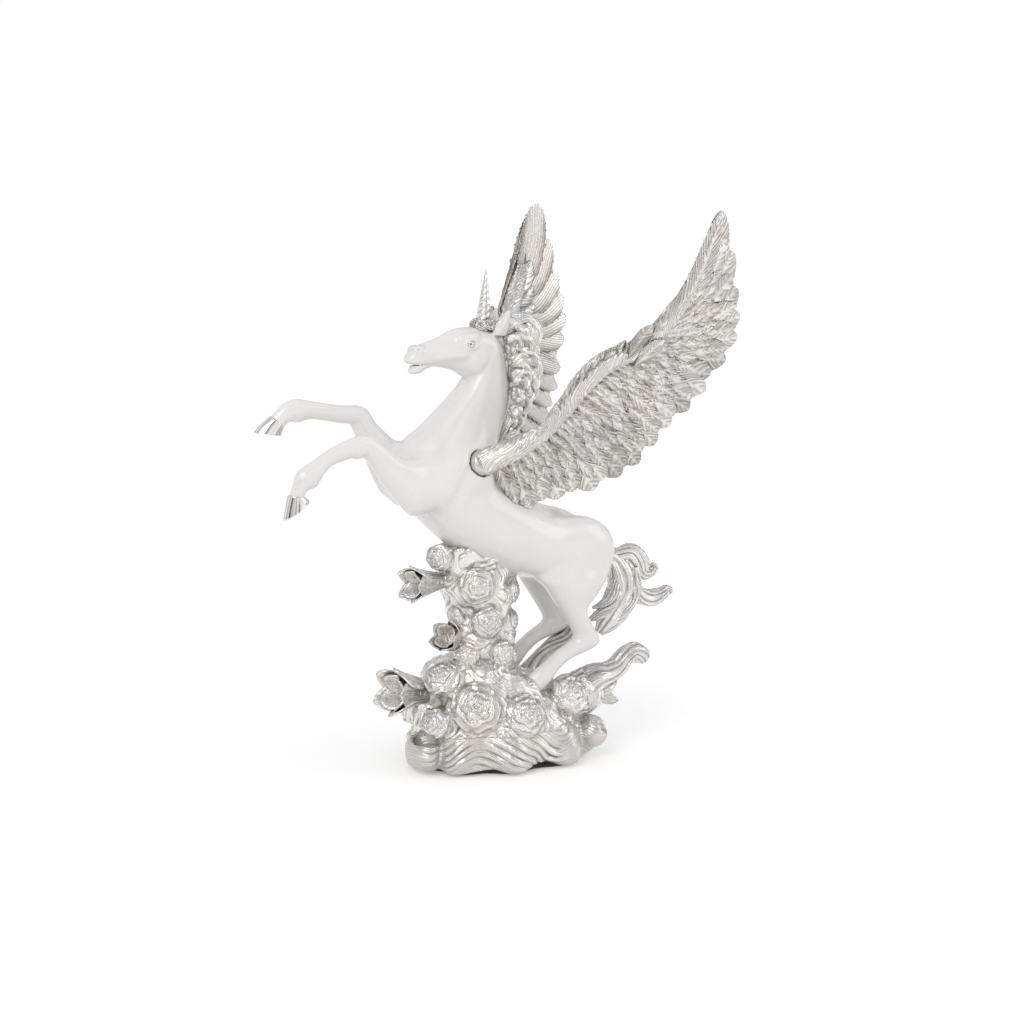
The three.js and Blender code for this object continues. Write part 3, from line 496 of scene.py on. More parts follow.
# Boss in the socket: [radius, place along the pull]
BOSS = [
    [0.5, -6], [11.6, -6], [12.4, -5], [12.5, 0], [12.5, 7], [11.5, 8.5], [8, 9.5], [0.5, 10],
]

# Settings of feathers: flights, those between them, coverts, the inner face, the leader of the
# hand with its frayed edge and the leaves at its root, and the tufts of the arm
FLIGHT = dict(lifts=(0, 0), backs=7, pointed=0.06)
FILLER = dict(half=15, lifts=(0.6, 0.9), rows=48, columns=9, pointed=0.06)
COVERT = dict(columns=7, backs=3, barb=1.05, ragged=0.3, shaft=0.2)
INNER = dict(half=8, lifts=(1.6, 2.6), face=-1, rows=32, columns=9, backs=3, barb=0.3,
             pointed=0.25, edge=0.5)
LEADER = dict(half=11.5, lifts=(7.6, 2.0), rows=110, barb=1.0, pointed=0.15, shaft=1.2)
FRAY = dict(half=1.9, rows=9, columns=5, backs=3, barb=0.5, pitch=3.5, pointed=0.3)
LEAF = dict(half=8, rows=36, barb=0.5, pitch=5, pointed=0.25)
TUFT = dict(half=4.5, rows=14, columns=7, backs=3, pitch=4.5, pointed=0.3, ragged=0.4,
            shaft=0.2)

# Where a vane starts to round off, as a share of its length, and how many barbs differ in strength
VANE_SHOULDER = 0.66
BARBS = 80


def wing_points(u, v, n):
    t = np.clip(u / DRAWN_SPAN, 0, 1)
    n = n + WING_BOW * t * t * (1 - t) * 27 / 4
    flat = WING_ROOT + u[..., None] * WING_REACH / DRAWN_SPAN + v[..., None] * WING_CHORD
    return flat + n[..., None] * WING_NORMAL


def feather(surface, spot, rng, half, lifts, face=1, rows=72, columns=11, backs=5, barb=0.8,
            pitch=6.5, pointed=0.0, ragged=0.1, shaft=0.4, edge=0.0):
    """Adds a vane on one face of the wing, its rows of points following barbs out to the edge.
    lifts are its heights over the wing at root and tip."""
    root, tip, bend = np.array(spot[:2], float), np.array(spot[2:4], float), spot[4]
    along = tip - root
    length = np.hypot(*along)
    side = np.array([along[1], -along[0]]) / length
    foot = rows // 8
    b = np.concatenate([np.linspace(0, 0.3, foot, endpoint=False),
                        np.linspace(0.3, 1, rows - foot)])[:, None]
    lean = 3.2 * half / length
    sweep = lean * 0.9 * (1 - b) / (lean + 0.9 * (1 - b))
    wander = rng.uniform(0, TAU, 6)
    strong = rng.uniform(0.1, 1.0, (2, BARBS))

    def vane(c):
        """Place along, count of barbs, their rise, the shaft's line and the way out, at columns."""
        lead, hand = np.abs(c), (c < 0).astype(int)
        t = b + sweep * lead
        past = np.clip(t - VANE_SHOULDER, 0, None) / (1 - VANE_SHOULDER)
        reach = half * (0.6 + 0.4 * np.minimum(1, t / 0.4))
        reach = reach * np.maximum((1 - past ** 2) ** (0.5 + pointed), 0.05)
        count = length * b / pitch + 0.5 * hand + 0.45 * np.sin(9 * b + wander[hand])
        count = count + 0.22 * np.sin(23 * b + wander[2 + hand])
        phase = count + 0.3 * np.sin(2.6 * lead + wander[4]) + 9
        which = np.floor(phase).astype(int) % BARBS
        strength = strong[np.broadcast_to(hand, which.shape), which]
        strength = strength * (0.7 + 0.3 * np.sin(5 * lead + 2.4 * which))
        ridge = np.sin(math.pi * phase) ** 2
        line = np.exp(-(c * reach / 0.9) ** 2)
        s = c * reach * (1 + ragged * (2 * ridge * strength - 0.6) * lead ** 3)
        return t, phase, ridge * strength, line, s

    def lift(t, s):
        return lifts[0] + (lifts[1] - lifts[0]) * t - 0.09 * s * face

    c = np.linspace(-1, 1, columns)[None]
    t, phase, rise, line, s = vane(c)
    thin = 1 - 0.6 * t
    top = lift(t, s) + 1.5 * thin * np.sqrt(1 - c ** 2 + 0.02)
    top = top + barb * (rise - 0.3) * (1 - line) * np.minimum(1, 3 * (1 - b) + 0.35)
    top = top + shaft * line * thin
    even = np.linspace(1, -1, backs)[None]
    c2 = np.sign(even) * (1 - (1 - np.abs(even)) ** 2.5)
    t2, _, rise2, line2, s2 = vane(c2)
    thin2 = 1 - 0.6 * t2
    under = lift(t2, s2) - 0.9 * thin2 * (1 - c2 ** 2) - 0.2 * rise2 - 0.5 * line2 * thin2
    # Painted shade between the barbs, towards the root where the next row overlaps and at the inner
    # feathers' edges, plus a random tone for each feather; on the underside painted shade at the
    # edges short of the tip, towards the root and between the barbs, and a little all over
    feather_shade = 0.75 * (1 - rise) * (1 - 0.6 * line) + 0.3 * (1 - b) ** 2 + edge * np.abs(c) ** 3
    deep = np.clip(feather_shade + rng.uniform(-0.12, 0.22), 0, 1)
    underside_shade = c2 ** 4 * smooth_step(1, 0.75, t2) + 0.6 * (1 - b) ** 2 + 0.1 * (1 - rise2)
    deep2 = np.clip(underside_shade + 0.22, 0, 1)
    lines2 = s2 / 2.8 + 0.8 * np.sin(6 * t2 + wander[4])
    t, off, out, deep, grain = (np.concatenate(pair, 1) for pair in (
        (t, t2), (s, s2), (top, under), (deep, deep2), (phase, lines2)))
    off = off - bend * np.sin(math.pi * t)
    u, v = root[0] + along[0] * t + side[0] * off, root[1] + along[1] * t + side[1] * off
    surface.add(*capped(wing_points(u, v, out * face)), deep, grain)


def short_feather(place, start, reach, bent, sway=0.0):
    """Spot of a feather at a place among the flights, with its reach and bend as shares of them."""
    i = min(int(place), LAST_FLIGHT - 1)
    one, other = np.array(FLIGHT_FEATHERS[i:i + 2], float)
    ru, rv, tu, tv, bend = one * (1 + i - place) + other * (place - i)
    return [ru, rv + start, ru + (tu - ru) * reach + sway, rv + (tv - rv) * reach, bend * bent]


def arm_strokes(rng):
    """Relief of short strokes that lean round the arm, out of step, with painted shade between them
    and over a groove below it.
    """
    start, strong = rng.uniform(0, 1, ARM_STROKES), rng.uniform(0.5, 1, ARM_STROKES)

    def relief(t, turn):
        phase = ARM_STROKES * (turn - ARM_TWIST * TAU * t) / TAU + 0.7 * np.sin(31 * t + 2 * turn)
        phase = phase + 0.4 * np.sin(67 * t - 5 * turn) + ARM_STROKES
        which = np.floor(phase).astype(int) % ARM_STROKES
        stroke = np.sin(math.pi * ((38 * t + start[which]) % 1)) ** 1.2
        level = np.sin(math.pi * phase) ** 2 * stroke * strong[which]
        shaded_groove = np.exp(-(((turn % TAU) - 0.3) / 0.2) ** 2)
        # Painted shade between the strokes and in the groove below the arm
        depth = np.clip(0.5 - 0.5 * level + 0.6 * shaded_groove, 0, 1)
        return 1.5 * level - 0.5 - 0.5 * shaded_groove, depth, phase

    return relief


def wing_surface():
    rng = draws("wing")
    surface = Surface()
    for k, spot in enumerate(FLIGHT_FEATHERS):
        half = min(FLIGHT_HALF, TIP_HALF + HALF_STEP * k)
        feather(surface, spot, rng, half, **FLIGHT)
        if k < LAST_FLIGHT:
            feather(surface, short_feather(k + 0.5, 0, FILLER_REACH, 1), rng, **FILLER)
    for count, share, half, low, rows in COVERT_ROWS:
        for k in range(count):
            place = LAST_FLIGHT * (k + 0.35 + rng.uniform(-0.25, 0.25)) / count
            reach = share * rng.uniform(0.88, 1.12)
            spot = short_feather(place, 8, reach, share, rng.uniform(-4, 4))
            wide = half * rng.uniform(0.9, 1.1)
            lifts = (low - 1.0, low + rng.uniform(-0.5, 0.6))
            feather(surface, spot, rng, wide, lifts, rows=rows, pointed=0.3, **COVERT)
    for spot, half, low in ROOT_FEATHERS:
        feather(surface, spot, rng, half, (low, low + 1), rows=34, pointed=0.2, **COVERT)
    for k in range(INNER_FEATHERS):
        place, share = LAST_FLIGHT * (k + 0.5) / INNER_FEATHERS, rng.uniform(0.4, 0.56)
        feather(surface, short_feather(place, 4, share, share), rng, **INNER)

    # Hand with its frayed edge and leaves, and the arm with its tufts
    feather(surface, HAND_FEATHER, rng, **LEADER)
    ru, rv, tu, tv, bend = HAND_FEATHER
    for t in np.linspace(0.03, 0.93, FRAYS):
        u = ru + (tu - ru) * t
        v = rv + (tv - rv) * t + bend * math.sin(math.pi * t) + 11 * (1 - t ** 4)
        spot = [u - 5, v - 4, u + 7 + rng.uniform(-2, 2), v + rng.uniform(-3.6, -2.0), 0.5]
        feather(surface, spot, rng, lifts=(7.4 - 5.2 * t, 6.4 - 5.2 * t), **FRAY)
    for spot, low in zip(HAND_LEAVES, LEAF_LIFTS):
        feather(surface, spot, rng, lifts=(low, low + 1), **LEAF)
    along, across, out, radius = refine(ARM, 10).T
    for k in range(TUFTS):
        u = TUFT_START + TUFT_STEP * k
        v, r = np.interp(u, along, across), np.interp(u, along, radius)
        rise = rng.uniform(0.2, 1.05)
        spot = [u, v + r * rng.uniform(0.2, 0.9), u + 15 + rng.uniform(-4, 4), v + r * rise, 1]
        feather(surface, spot, rng, lifts=(r * 0.75, r * (1.02 - 0.45 * rise)), **TUFT)
    path = wing_points(along, across, out)
    surface.add(*tube(path, radius, radius, WING_NORMAL, sides=96, relief=arm_strokes(rng),
                      twist=ARM_TWIST))

    # Blade inside the plumage, and the boss, both painted dark as shade in among the feathers
    ru, rv, tu, tv, _ = np.array(FLIGHT_FEATHERS, float).T
    u, v = (np.stack([root, root, root + (tip - root) * BLADE_REACH], 1)
            for root, tip in ((ru, tu), (rv, tv)))
    blade = wing_points(u, v, np.array([BLADE_HALF, -BLADE_HALF, 0]))
    surface.add(*capped(blade), depth=0.8)
    return surface.add(*turned(BOSS, WING_ROOT, PULL, sides=48), depth=0.5)


def keep_clear(surface, field):
    """Moves the points of the left wing that would sink into the horse out along its pull."""
    for points in surface.points:
        for _ in range(CLEARING_STEPS):
            points += np.clip(WING_GAP - field.distances(points), 0, None)[:, None] * PULL
    return surface


# Plinth and mound rings: [z, x of the middle, half length, half width, depth of the scallops]
PLINTH_RINGS = [
    [0, 2, 92, 65, 4], [3, 2, 95, 69, 5], [8, 2, 97, 71, 6], [20, 2, 98, 72, 6], [32, 0, 92, 68, 5],
    [44, -5, 84, 63, 3], [60, -9, 79, 56, 3], [76, -18, 68, 50, 3], [92, -28, 54, 43, 2],
    [104, -32, 40, 33, 1], [108, -32, 20, 18, 0],
]
SCALLOPS = 9

# Row of the ring that the skirt's folds follow
SKIRT_RING = 3

# Lobes at the skirt's ends, the hollows in them, and the mound under the wave crest:
# [middle, half sizes]
LOBES = [
    [(-90, -14, 20), (18, 24, 19)], [(88, -34, 24), (17, 16, 16)], [(86, 30, 22), (18, 18, 17)],
]
HOLLOWS = [[(-92, -20, 34), (12, 15, 9)], [(98, -44, 30), (6, 6, 6)]]
CREST_MOUND = [(92, -12, 58), (22, 20, 20)]

# Felt under the skirt: [z, how far in from the foot of the plinth]
FELT_RINGS = [[-2, 9], [-1.8, 8.3], [-1.3, 8], [-0.5, 8], [0, 8.4]]

# Column: [z, x of the middle, half length, half width]
COLUMN_RINGS = [
    [72, -16, 34, 26], [96, -17, 35, 27], [118, -18, 34, 25], [146, -19, 33, 25],
    [172, -21, 36, 28], [200, -24, 42, 31], [222, -26, 42, 30],
]

# Roses and cups of pointed petals: [x, y, z, radius, azimuth and elevation that it faces], in
# degrees, with the azimuth from -Y towards +X
BASE_ROSES = [
    [-50, -50, 67, 23, -20, 20], [-87, -31, 52, 15, -62, 12], [1, -58, 55, 21, 3, 30],
    [-74, -22, 94, 17, -40, 45], [64, -36, 66, 21, 18, 35], [36, 50, 60, 20, 160, 25],
    [-46, 46, 72, 20, 205, 25], [-86, 22, 58, 17, 250, 15], [80, 30, 52, 17, 125, 20],
]
COLUMN_ROSES = [
    [-38, -28, 184, 17, -15, 5], [-26, -27, 146, 15, -5, 0], [9, -12, 173, 13, 60, 0],
    [13, -8, 143, 8.5, 70, 0], [-70, -8, 212, 13, -50, 0], [-52, -8, 151, 9, -60, 0],
    [-20, 26, 165, 16, 180, 0], [-48, 20, 196, 14, 215, 0], [4, 22, 122, 14, 150, 0],
    [-46, -18, 112, 13, -50, 10], [-8, -26, 112, 13, 10, 0],
]
BASE_CUPS = [[-112, -4, 80, 24, -82, 8], [120, -8, 58, 17, 76, 5], [84, -24, 70, 14, 35, 40]]
COLUMN_CUPS = [[-92, -4, 187, 19, -80, 0], [-60, -8, 131, 16, -66, 25]]

# Petal rings of a rose, in shares of its size: [petals, foot radius, rim radius, foot height, rim
# height, half angle in degrees, roll]
ROSE_RINGS = [
    [2, 0.05, 0.14, 0.1, 0.62, 105, 0.02], [3, 0.12, 0.33, 0, 0.6, 72, 0.06],
    [4, 0.2, 0.56, -0.15, 0.5, 58, 0.1], [5, 0.28, 0.8, -0.3, 0.32, 50, 0.14],
    [6, 0.36, 1.0, -0.5, 0.05, 44, 0.16],
]

# Petal rings of a cup: [petals, size]
CUP_RINGS = [[5, 1.0], [4, 0.78]]

# Wave crest that curls over at its end, and the wave under the raised hind leg:
# [x, y, z, half width, half depth]
WAVE_CREST = [
    [52, 2, 44, 30, 16], [86, -6, 60, 26, 17], [106, -10, 73, 20, 14], [120, -12, 77, 14, 11],
    [132, -12, 83, 12, 10], [141, -12, 92, 11, 9], [151, -12, 96.5, 10, 9.5], [161, -12, 92, 9, 9],
    [166, -12, 86.5, 5, 5],
]
WAVE_RIDGE = [
    [34, 26, 58, 14, 16], [60, 28, 80, 12, 14], [80, 29, 97, 11, 13], [94, 30, 110, 9, 9],
    [104, 30, 120, 5, 4],
]


def placed(spot):
    """Middle and radius of a flower, and its axes: across, up and out of it."""
    x, y, z, radius, azimuth, elevation = spot
    a, e = math.radians(azimuth), math.radians(elevation)
    out = np.array([math.sin(a) * math.cos(e), -math.cos(a) * math.cos(e), math.sin(e)])
    across = unit(np.cross([0, 0, 1.0], out))
    return np.array([x, y, z]), radius, np.array([across, np.cross(out, across), out])


def sheet(surface, middle, thickness, depth, grain):
    """Adds a thin closed shell round a grid of points."""
    normal = np.cross(np.gradient(middle, axis=0), np.gradient(middle, axis=1))
    normal = normal / np.maximum(np.linalg.norm(normal, axis=-1, keepdims=True), 1e-6)
    half = thickness / 2 * np.ones(middle.shape[:2])
    half[:, [0, -1]] *= 0.3
    half[-1] *= 0.4
    front, back = middle + normal * half[..., None], middle - normal * half[..., None]
    rings, depth, grain = (np.concatenate([one, other[:, ::-1]], 1) for one, other in (
        (front, back), (depth, depth), (grain, grain)))
    surface.add(*capped(rings), depth, grain)


def rose(surface, spot, rng, rows, columns):
    """Adds rings of curled petals, each turned against the last, round a rolled bud."""
    at, radius, axes = placed(spot)
    s = np.linspace(0, 1, rows)[:, None]
    a = np.linspace(-1, 1, columns)[None]
    for petals, foot, rim, low, high, half, roll in ROSE_RINGS:
        start = rng.uniform(0, TAU)
        for k in range(petals):
            turn = start + TAU * k / petals + rng.uniform(-0.12, 0.12)
            tall = rng.uniform(0.92, 1.08)
            reach = s * (1 - 0.14 * a ** 2 - 0.1 * a ** 8)
            angle = turn + a * math.radians(half) * (0.6 + 0.4 * s)
            out = foot + (rim - foot) * reach ** 1.4 + roll * np.clip(reach - 0.6, 0, 1) + 0.03 * a
            up = low + (high - low) * np.sin(math.pi / 2 * reach) ** 0.9 * tall
            up = up - roll * 3.2 * np.clip(reach - 0.72, 0, 1) ** 1.2
            local = radius * np.stack([out * np.cos(angle), out * np.sin(angle), up], -1)
            # Painted shade deeper in the rose, towards the foot of each petal
            deep = np.clip(0.8 - 1.1 * reach, 0, 1)
            sheet(surface, local @ axes + at, radius * 0.075, deep, 4 * a + 0 * s)


def cup(surface, spot, rng):
    """Adds a cup of pointed petals that flare at their tips, on a ringed foot."""
    at, radius, axes = placed(spot)
    s = np.linspace(0, 1, 20)[:, None]
    a = np.linspace(-1, 1, 13)[None]
    flare = np.clip(s - 0.7, 0, 1)
    for ring, (petals, share) in enumerate(CUP_RINGS):
        for k in range(petals):
            turn = TAU * (k + 0.5 * ring) / petals + rng.uniform(-0.12, 0.12)
            size = radius * (share * rng.uniform(0.92, 1.08))
            point = np.maximum(1 - (np.abs(s - 0.3) / 0.72) ** 2.2, 0.02)
            angle = turn + a * TAU / petals * 0.74 * point
            out = 0.42 + 0.42 * np.minimum(s / 0.75, 1) ** 1.3 + 0.9 * flare ** 1.5
            out = out + 0.05 * a ** 2 - 0.05 * np.exp(-(a / 0.15) ** 2) + 0.012 * np.cos(14 * a)
            up = -1.35 + 2.05 * s - 0.35 * flare + 0 * a
            local = size * np.stack([out * np.cos(angle), out * np.sin(angle), up], -1)
            # Painted shade in the cup's throat, along each petal's middle crease and at its edges
            deep = np.clip(0.5 - 0.8 * s, 0, 1) + 0.3 * np.exp(-(a / 0.2) ** 2) + 0.2 * a ** 4
            sheet(surface, local @ axes + at, radius * 0.09, deep, 6 * a + 0 * s)

    def rings(t, turn):
        level = np.cos(TAU * 5 * t + 0.6 * np.sin(3 * turn))
        # Painted shade in the grooves between the foot's rings
        return 0.4 * level + 0.4 * np.cos(9 * turn), 0.4 - 0.35 * level, 9 * turn / TAU + 0 * t

    place = np.linspace(-1.9, -0.4, 40)
    path = at + place[:, None] * radius * axes[2]
    size = radius * np.interp(place, [-1.9, -0.7, -0.4], [0.36, 0.54, 0.5])
    surface.add(*tube(path, size, size, axes[0], sides=36, relief=rings))


def ripple(points, size, rng, waves=7):
    """Smooth uneven values of about -1 to 1, with bumps of the given size."""
    total = 0
    for _ in range(waves):
        wave = unit(rng.normal(size=3)) * TAU / size * rng.uniform(0.6, 1.4)
        total = total + np.sin(points @ wave + rng.uniform(0, TAU))
    return total / math.sqrt(waves)


def flow_relief(points, flowers, pitch, rng):
    """Heights, painted shade and grain of folds that run round the flowers and sway between them."""
    near = np.zeros(len(points))
    for at, radius, _ in map(placed, flowers):
        near += np.exp(-(np.linalg.norm(points - at, axis=1) - radius) / 5)
    far = -5 * np.log(near + 1e-12)
    q = (np.minimum(far, 60) + 9 * ripple(points, 48, rng) + 3.5 * ripple(points, 22, rng)) / pitch
    level = np.abs(np.sin(math.pi * q)) ** 0.7 * 2 - 1.3
    strong = np.clip(0.6 + 0.6 * ripple(points, 26, rng), 0.05, 1.5)
    crease = np.exp(-((far - 2) / 2.5) ** 2)
    lumps = 1.4 * ripple(points, 25, rng) + 0.3 * ripple(points, 9, rng)
    height = 1.3 * strong * level - 1.3 * crease + lumps
    # Painted shade in the troughs of the folds and in the crease round each flower, lighter on the
    # lumps
    depth = np.clip(0.22 - 0.36 * strong * level + 0.35 * crease - 0.1 * lumps, 0, 1)
    return height, depth, q * 2


def petal_relief(points, flowers, rng):
    """Heights, painted shade and grain of petal rings over bulbs, and each point's share in them."""
    height, depth, grain, share = (np.zeros(len(points)) for _ in range(4))
    for at, radius, axes in map(placed, flowers):
        local = (points - at) @ axes.T / radius
        r = np.hypot(local[:, 0], local[:, 1])
        part = smooth_step(1.2, 1.0, r) * smooth_step(-0.8, -0.4, local[:, 2])
        angle = np.arctan2(local[:, 1], local[:, 0]) + rng.uniform(0, TAU)
        q = 3.7 * r ** 0.85 + angle / TAU
        q = q + 0.42 * np.abs(np.cos(2.5 * angle + 2.4 * np.floor(q))) + 0.08 * np.sin(9 * angle)
        f = q - np.floor(q)
        rise = (1 - f) ** 1.2 * smooth_step(1.0, 0.88, f) + smooth_step(0.88, 1.0, f)
        height = height * (1 - part) + part * radius * 0.14 * (rise - 0.35)
        # Painted shade in the crease under each petal's rim
        dark = 0.8 * np.clip(1.6 * f - 0.7, 0, 1) * smooth_step(1.0, 0.93, f)
        depth = depth * (1 - part) + part * dark
        grain = np.where(part > 0.5, q * 2.5, grain)
        share = np.maximum(share, part)
    return height, depth, grain, share


def skirt_relief(points, rng):
    """Share, heights, painted shade and grain of folds that sweep along the feet of the skirt's
    lobes.
    """
    _, x, length, width, _ = PLINTH_RINGS[SKIRT_RING]
    turn = np.arctan2(points[:, 1] / width, (points[:, 0] - x) / length)
    z = points[:, 2]
    sweep = 13 * np.sin(3 * turn + 5.1) + 5 * np.sin(5 * turn + 2.0)
    sweep = sweep + 6 * ripple(points, 60, rng, 4)
    q = (z - 4 * np.cos(SCALLOPS * turn) * smooth_step(26, 0, z) + sweep) / 7.5
    level = np.abs(np.sin(math.pi * q)) ** 0.6 * 2 - 1.3
    strong = np.clip(0.65 + 0.7 * ripple(points, 36, rng), 0.05, 1.5)
    for at, _ in LOBES:
        strong = strong * smooth_step(14, 34, np.linalg.norm(points - at, axis=1))
    height = (1.5 * strong * level + 1.4 * ripple(points, 32, rng)) * smooth_step(0, 5, z)
    # Painted shade in the troughs of the folds
    return smooth_step(46, 28, z), height, np.clip(0.5 - 0.45 * strong * level, 0, 1), q * 3


def vertex_normals(points, quads):
    """Unit normals at the points of a skin."""
    a, b, c, d = (points[quads[:, k]] for k in range(4))
    face = np.cross(c - a, d - b)
    total = np.zeros_like(points)
    for k in range(4):
        for axis in range(3):
            total[:, axis] += np.bincount(quads[:, k], face[:, axis], len(points))
    return total / np.maximum(np.linalg.norm(total, axis=1, keepdims=True), 1e-9)


def carved(field, roses, cups, rng, pitch, skirt=None):
    """Surface of a field with petals on its bulbs and folds between them, and with its cups."""
    points, quads = field.skin()
    normals = vertex_normals(points, quads)
    if np.einsum("ij,ij", normals, points - points.mean(0)) < 0:
        normals = -normals
    height, depth, grain = flow_relief(points, roses, pitch, rng)
    if skirt:
        drape, folds, dark, lines = skirt(points, rng)
        height = height * (1 - drape) + folds * drape
        depth = depth * (1 - drape) + dark * drape
        grain = np.where(drape > 0.5, lines, grain)
    petals, dark, lines, share = petal_relief(points, roses, rng)
    height, depth = height * (1 - share) + petals, depth * (1 - share) + dark
    grain = np.where(share > 0.5, lines, grain)
    points = points + normals * height[:, None]
    points[:, 2] = np.maximum(points[:, 2], 0)
    surface = Surface().add(points, quads, None, depth, grain)
    for spot in cups:
        cup(surface, spot, rng)
    return surface


def bulbs(field, roses, thickness, soft):
    """Joins a flattened ball under each rose."""
    for at, radius, axes in map(placed, roses):
        radii = np.array([1.03, 1.03, thickness]) * radius
        field.ball(at - 0.1 * radius * axes[2], axes, radii, soft)


def ovals(x, z, length, width, turn):
    """Rings of points round an upright line."""
    axes = np.broadcast_arrays(x + length * np.cos(turn), width * np.sin(turn), z)
    return np.stack(axes, -1)


def felt_surface():
    """Pad under the feet of the skirt's lobes, with soft uneven edges."""
    turn = circle(288)
    _, x, length, width, scallop = PLINTH_RINGS[0]
    fuzz = 0.25 * draws("felt").normal(size=len(turn))
    rings = []
    for z, inset in FELT_RINGS:
        wave = fuzz - inset - scallop * np.cos(SCALLOPS * turn)
        rings.append(ovals(x, z, length + wave, width + wave, turn))
    return Surface().add(*capped(np.array(rings)))


def base_surface():
    rng = draws("base")
    field = Field((-140, -84, -6), (176, 84, 132), voxel=1.2)
    z, x, length, width, scallop = (c[:, None] for c in refine(PLINTH_RINGS, 5).T)
    turn = circle(216)[None]
    wave = -scallop * np.cos(SCALLOPS * turn)
    arch = 2.5 * (1 + np.cos(SCALLOPS * turn)) * smooth_step(14, 0, z)
    field.loft(ovals(x, z + arch, length + wave, width + wave, turn), soft=2)
    bulbs(field, BASE_ROSES, thickness=0.62, soft=5)
    flat = np.eye(3)
    for at, radii in LOBES:
        field.ball(at, flat, radii, soft=3)
    for at, radii in HOLLOWS:
        field.ball(at, flat, radii, soft=2.5, cutting=True)
    at, radii = CREST_MOUND
    field.ball(at, flat, radii, soft=8)
    surface = carved(field, BASE_ROSES, BASE_CUPS, rng, pitch=6.8, skirt=skirt_relief)
    lock(surface, WAVE_CREST, rng, sides=64, steps=20)
    # The wave under the raised hind leg is painted darker still, as shade
    lock(surface, WAVE_RIDGE, rng, sides=64, steps=20, strands=11, shade=0.7)
    return surface


def column_surface():
    field = Field((-96, -50, 66), (36, 50, 236), voxel=1.15)
    z, x, length, width = (c[:, None] for c in refine(COLUMN_RINGS, 8).T)
    turn = circle(120)[None]
    swell = 1 + 0.06 * np.sin(3 * turn + z / 14) + 0.05 * np.sin(5 * turn - z / 9)
    field.loft(ovals(x, z, length * swell, width * swell, turn), soft=2)
    bulbs(field, COLUMN_ROSES, thickness=0.68, soft=4)
    return carved(field, COLUMN_ROSES, COLUMN_CUPS, draws("column"), pitch=6.4)


# Mane and tail: [x, y, z, half width, half depth]
MANE_CORE = [
    [-6, 0, 437, 6, 5], [8, 0, 434, 8, 8], [19, 0, 421, 10, 12], [24, 0, 403, 11, 13],
    [23, 0, 386, 11, 12], [18, 0, 370, 9, 9], [14, 0, 352, 8, 8], [7, 0, 335, 7, 6],
    [-2, 0, 317, 3, 3],
]
MANE_LOCKS = [
    [[-4, -4, 436, 6, 6], [9, -8, 443, 8, 8], [24, -10, 440, 9, 9], [34, -11, 428, 8, 8],
     [33, -12, 415, 5, 5], [27, -12, 412, 2, 2]],
    [[2, 6, 433, 7, 8], [18, 8, 436, 9, 9], [33, 8, 426, 9, 9], [41, 7, 409, 7, 7],
     [37, 5, 396, 2, 2]],
    [[6, -9, 422, 6, 6], [16, -13, 424, 8, 7], [28, -13, 415, 9, 8], [33, -12, 402, 8, 7],
     [27, -12, 392, 5, 4], [21, -13, 394, 2, 2]],
    [[9, 8, 410, 7, 8], [23, 11, 410, 9, 9], [35, 10, 397, 8, 8], [37, 8, 381, 6, 6],
     [31, 6, 372, 2, 2]],
    [[10, -10, 404, 6, 6], [19, -13, 404, 8, 7], [31, -13, 396, 8, 8], [35, -11, 383, 7, 7],
     [28, -10, 373, 4, 4], [22, -10, 375, 2, 2]],
    [[11, -9, 388, 6, 6], [20, -12, 388, 8, 7], [29, -12, 378, 8, 7], [28, -10, 365, 6, 6],
     [20, -9, 358, 2, 2]],
    [[12, 8, 382, 7, 8], [23, 9, 378, 8, 8], [29, 9, 364, 7, 7], [25, 7, 349, 5, 5],
     [18, 5, 341, 2, 2]],
    [[11, -7, 372, 6, 6], [19, -10, 369, 7, 7], [23, -10, 357, 7, 6], [18, -8, 345, 5, 5],
     [12, -7, 341, 2, 2]],
    [[10, -6, 356, 5, 5], [16, -8, 352, 6, 6], [17, -8, 341, 6, 5], [12, -6, 331, 4, 4],
     [5, -4, 325, 1.5, 1.5]],
    [[10, 5, 358, 6, 7], [17, 6, 352, 6, 6], [17, 6, 338, 5, 5], [9, 4, 322, 1.5, 1.5]],
]
TAIL_LOCKS = [
    [[112, 0, 198, 8, 8], [124, 0, 197, 9, 8.5], [135, -1, 190, 11, 11], [143, -3, 177, 13, 16],
     [144, -4, 161, 14, 18], [136, -5, 146, 13, 17], [125, -6, 132, 10, 13],
     [114, -6, 119, 4, 4.5]],
    [[130, 0, 194, 8, 7], [139, -2, 196, 8, 8], [152, -3, 197, 8, 11], [162, -4, 188, 8, 11],
     [167, -4, 178.5, 7, 8], [175, -4, 176.5, 5, 5], [181.5, -4, 181, 3.5, 3.5],
     [178, -4, 185.5, 2, 2]],
    [[148, -5, 168, 7, 8], [158, -6, 157, 7, 8], [168, -7, 151.5, 7, 8], [179, -7, 150.5, 7, 8.5],
     [189, -7, 154, 6, 6.5], [196, -7, 157.5, 4, 4], [199, -7, 153, 2.5, 2.5]],
    [[136, -8, 176, 5, 5], [129, -11, 162, 5, 5], [117, -12, 151, 4, 4], [103, -12, 147, 1.2, 1.2]],
    [[138, -10, 162, 6, 6], [124, -12, 147, 6, 6], [110, -12, 139, 5, 4.5], [101, -11, 135, 2, 2]],
    [[152, -8, 184, 6, 6], [154, -11, 168, 6, 6], [148, -13, 151, 6, 6], [134, -13, 136, 5, 5],
     [120, -11, 124, 2, 2]],
]

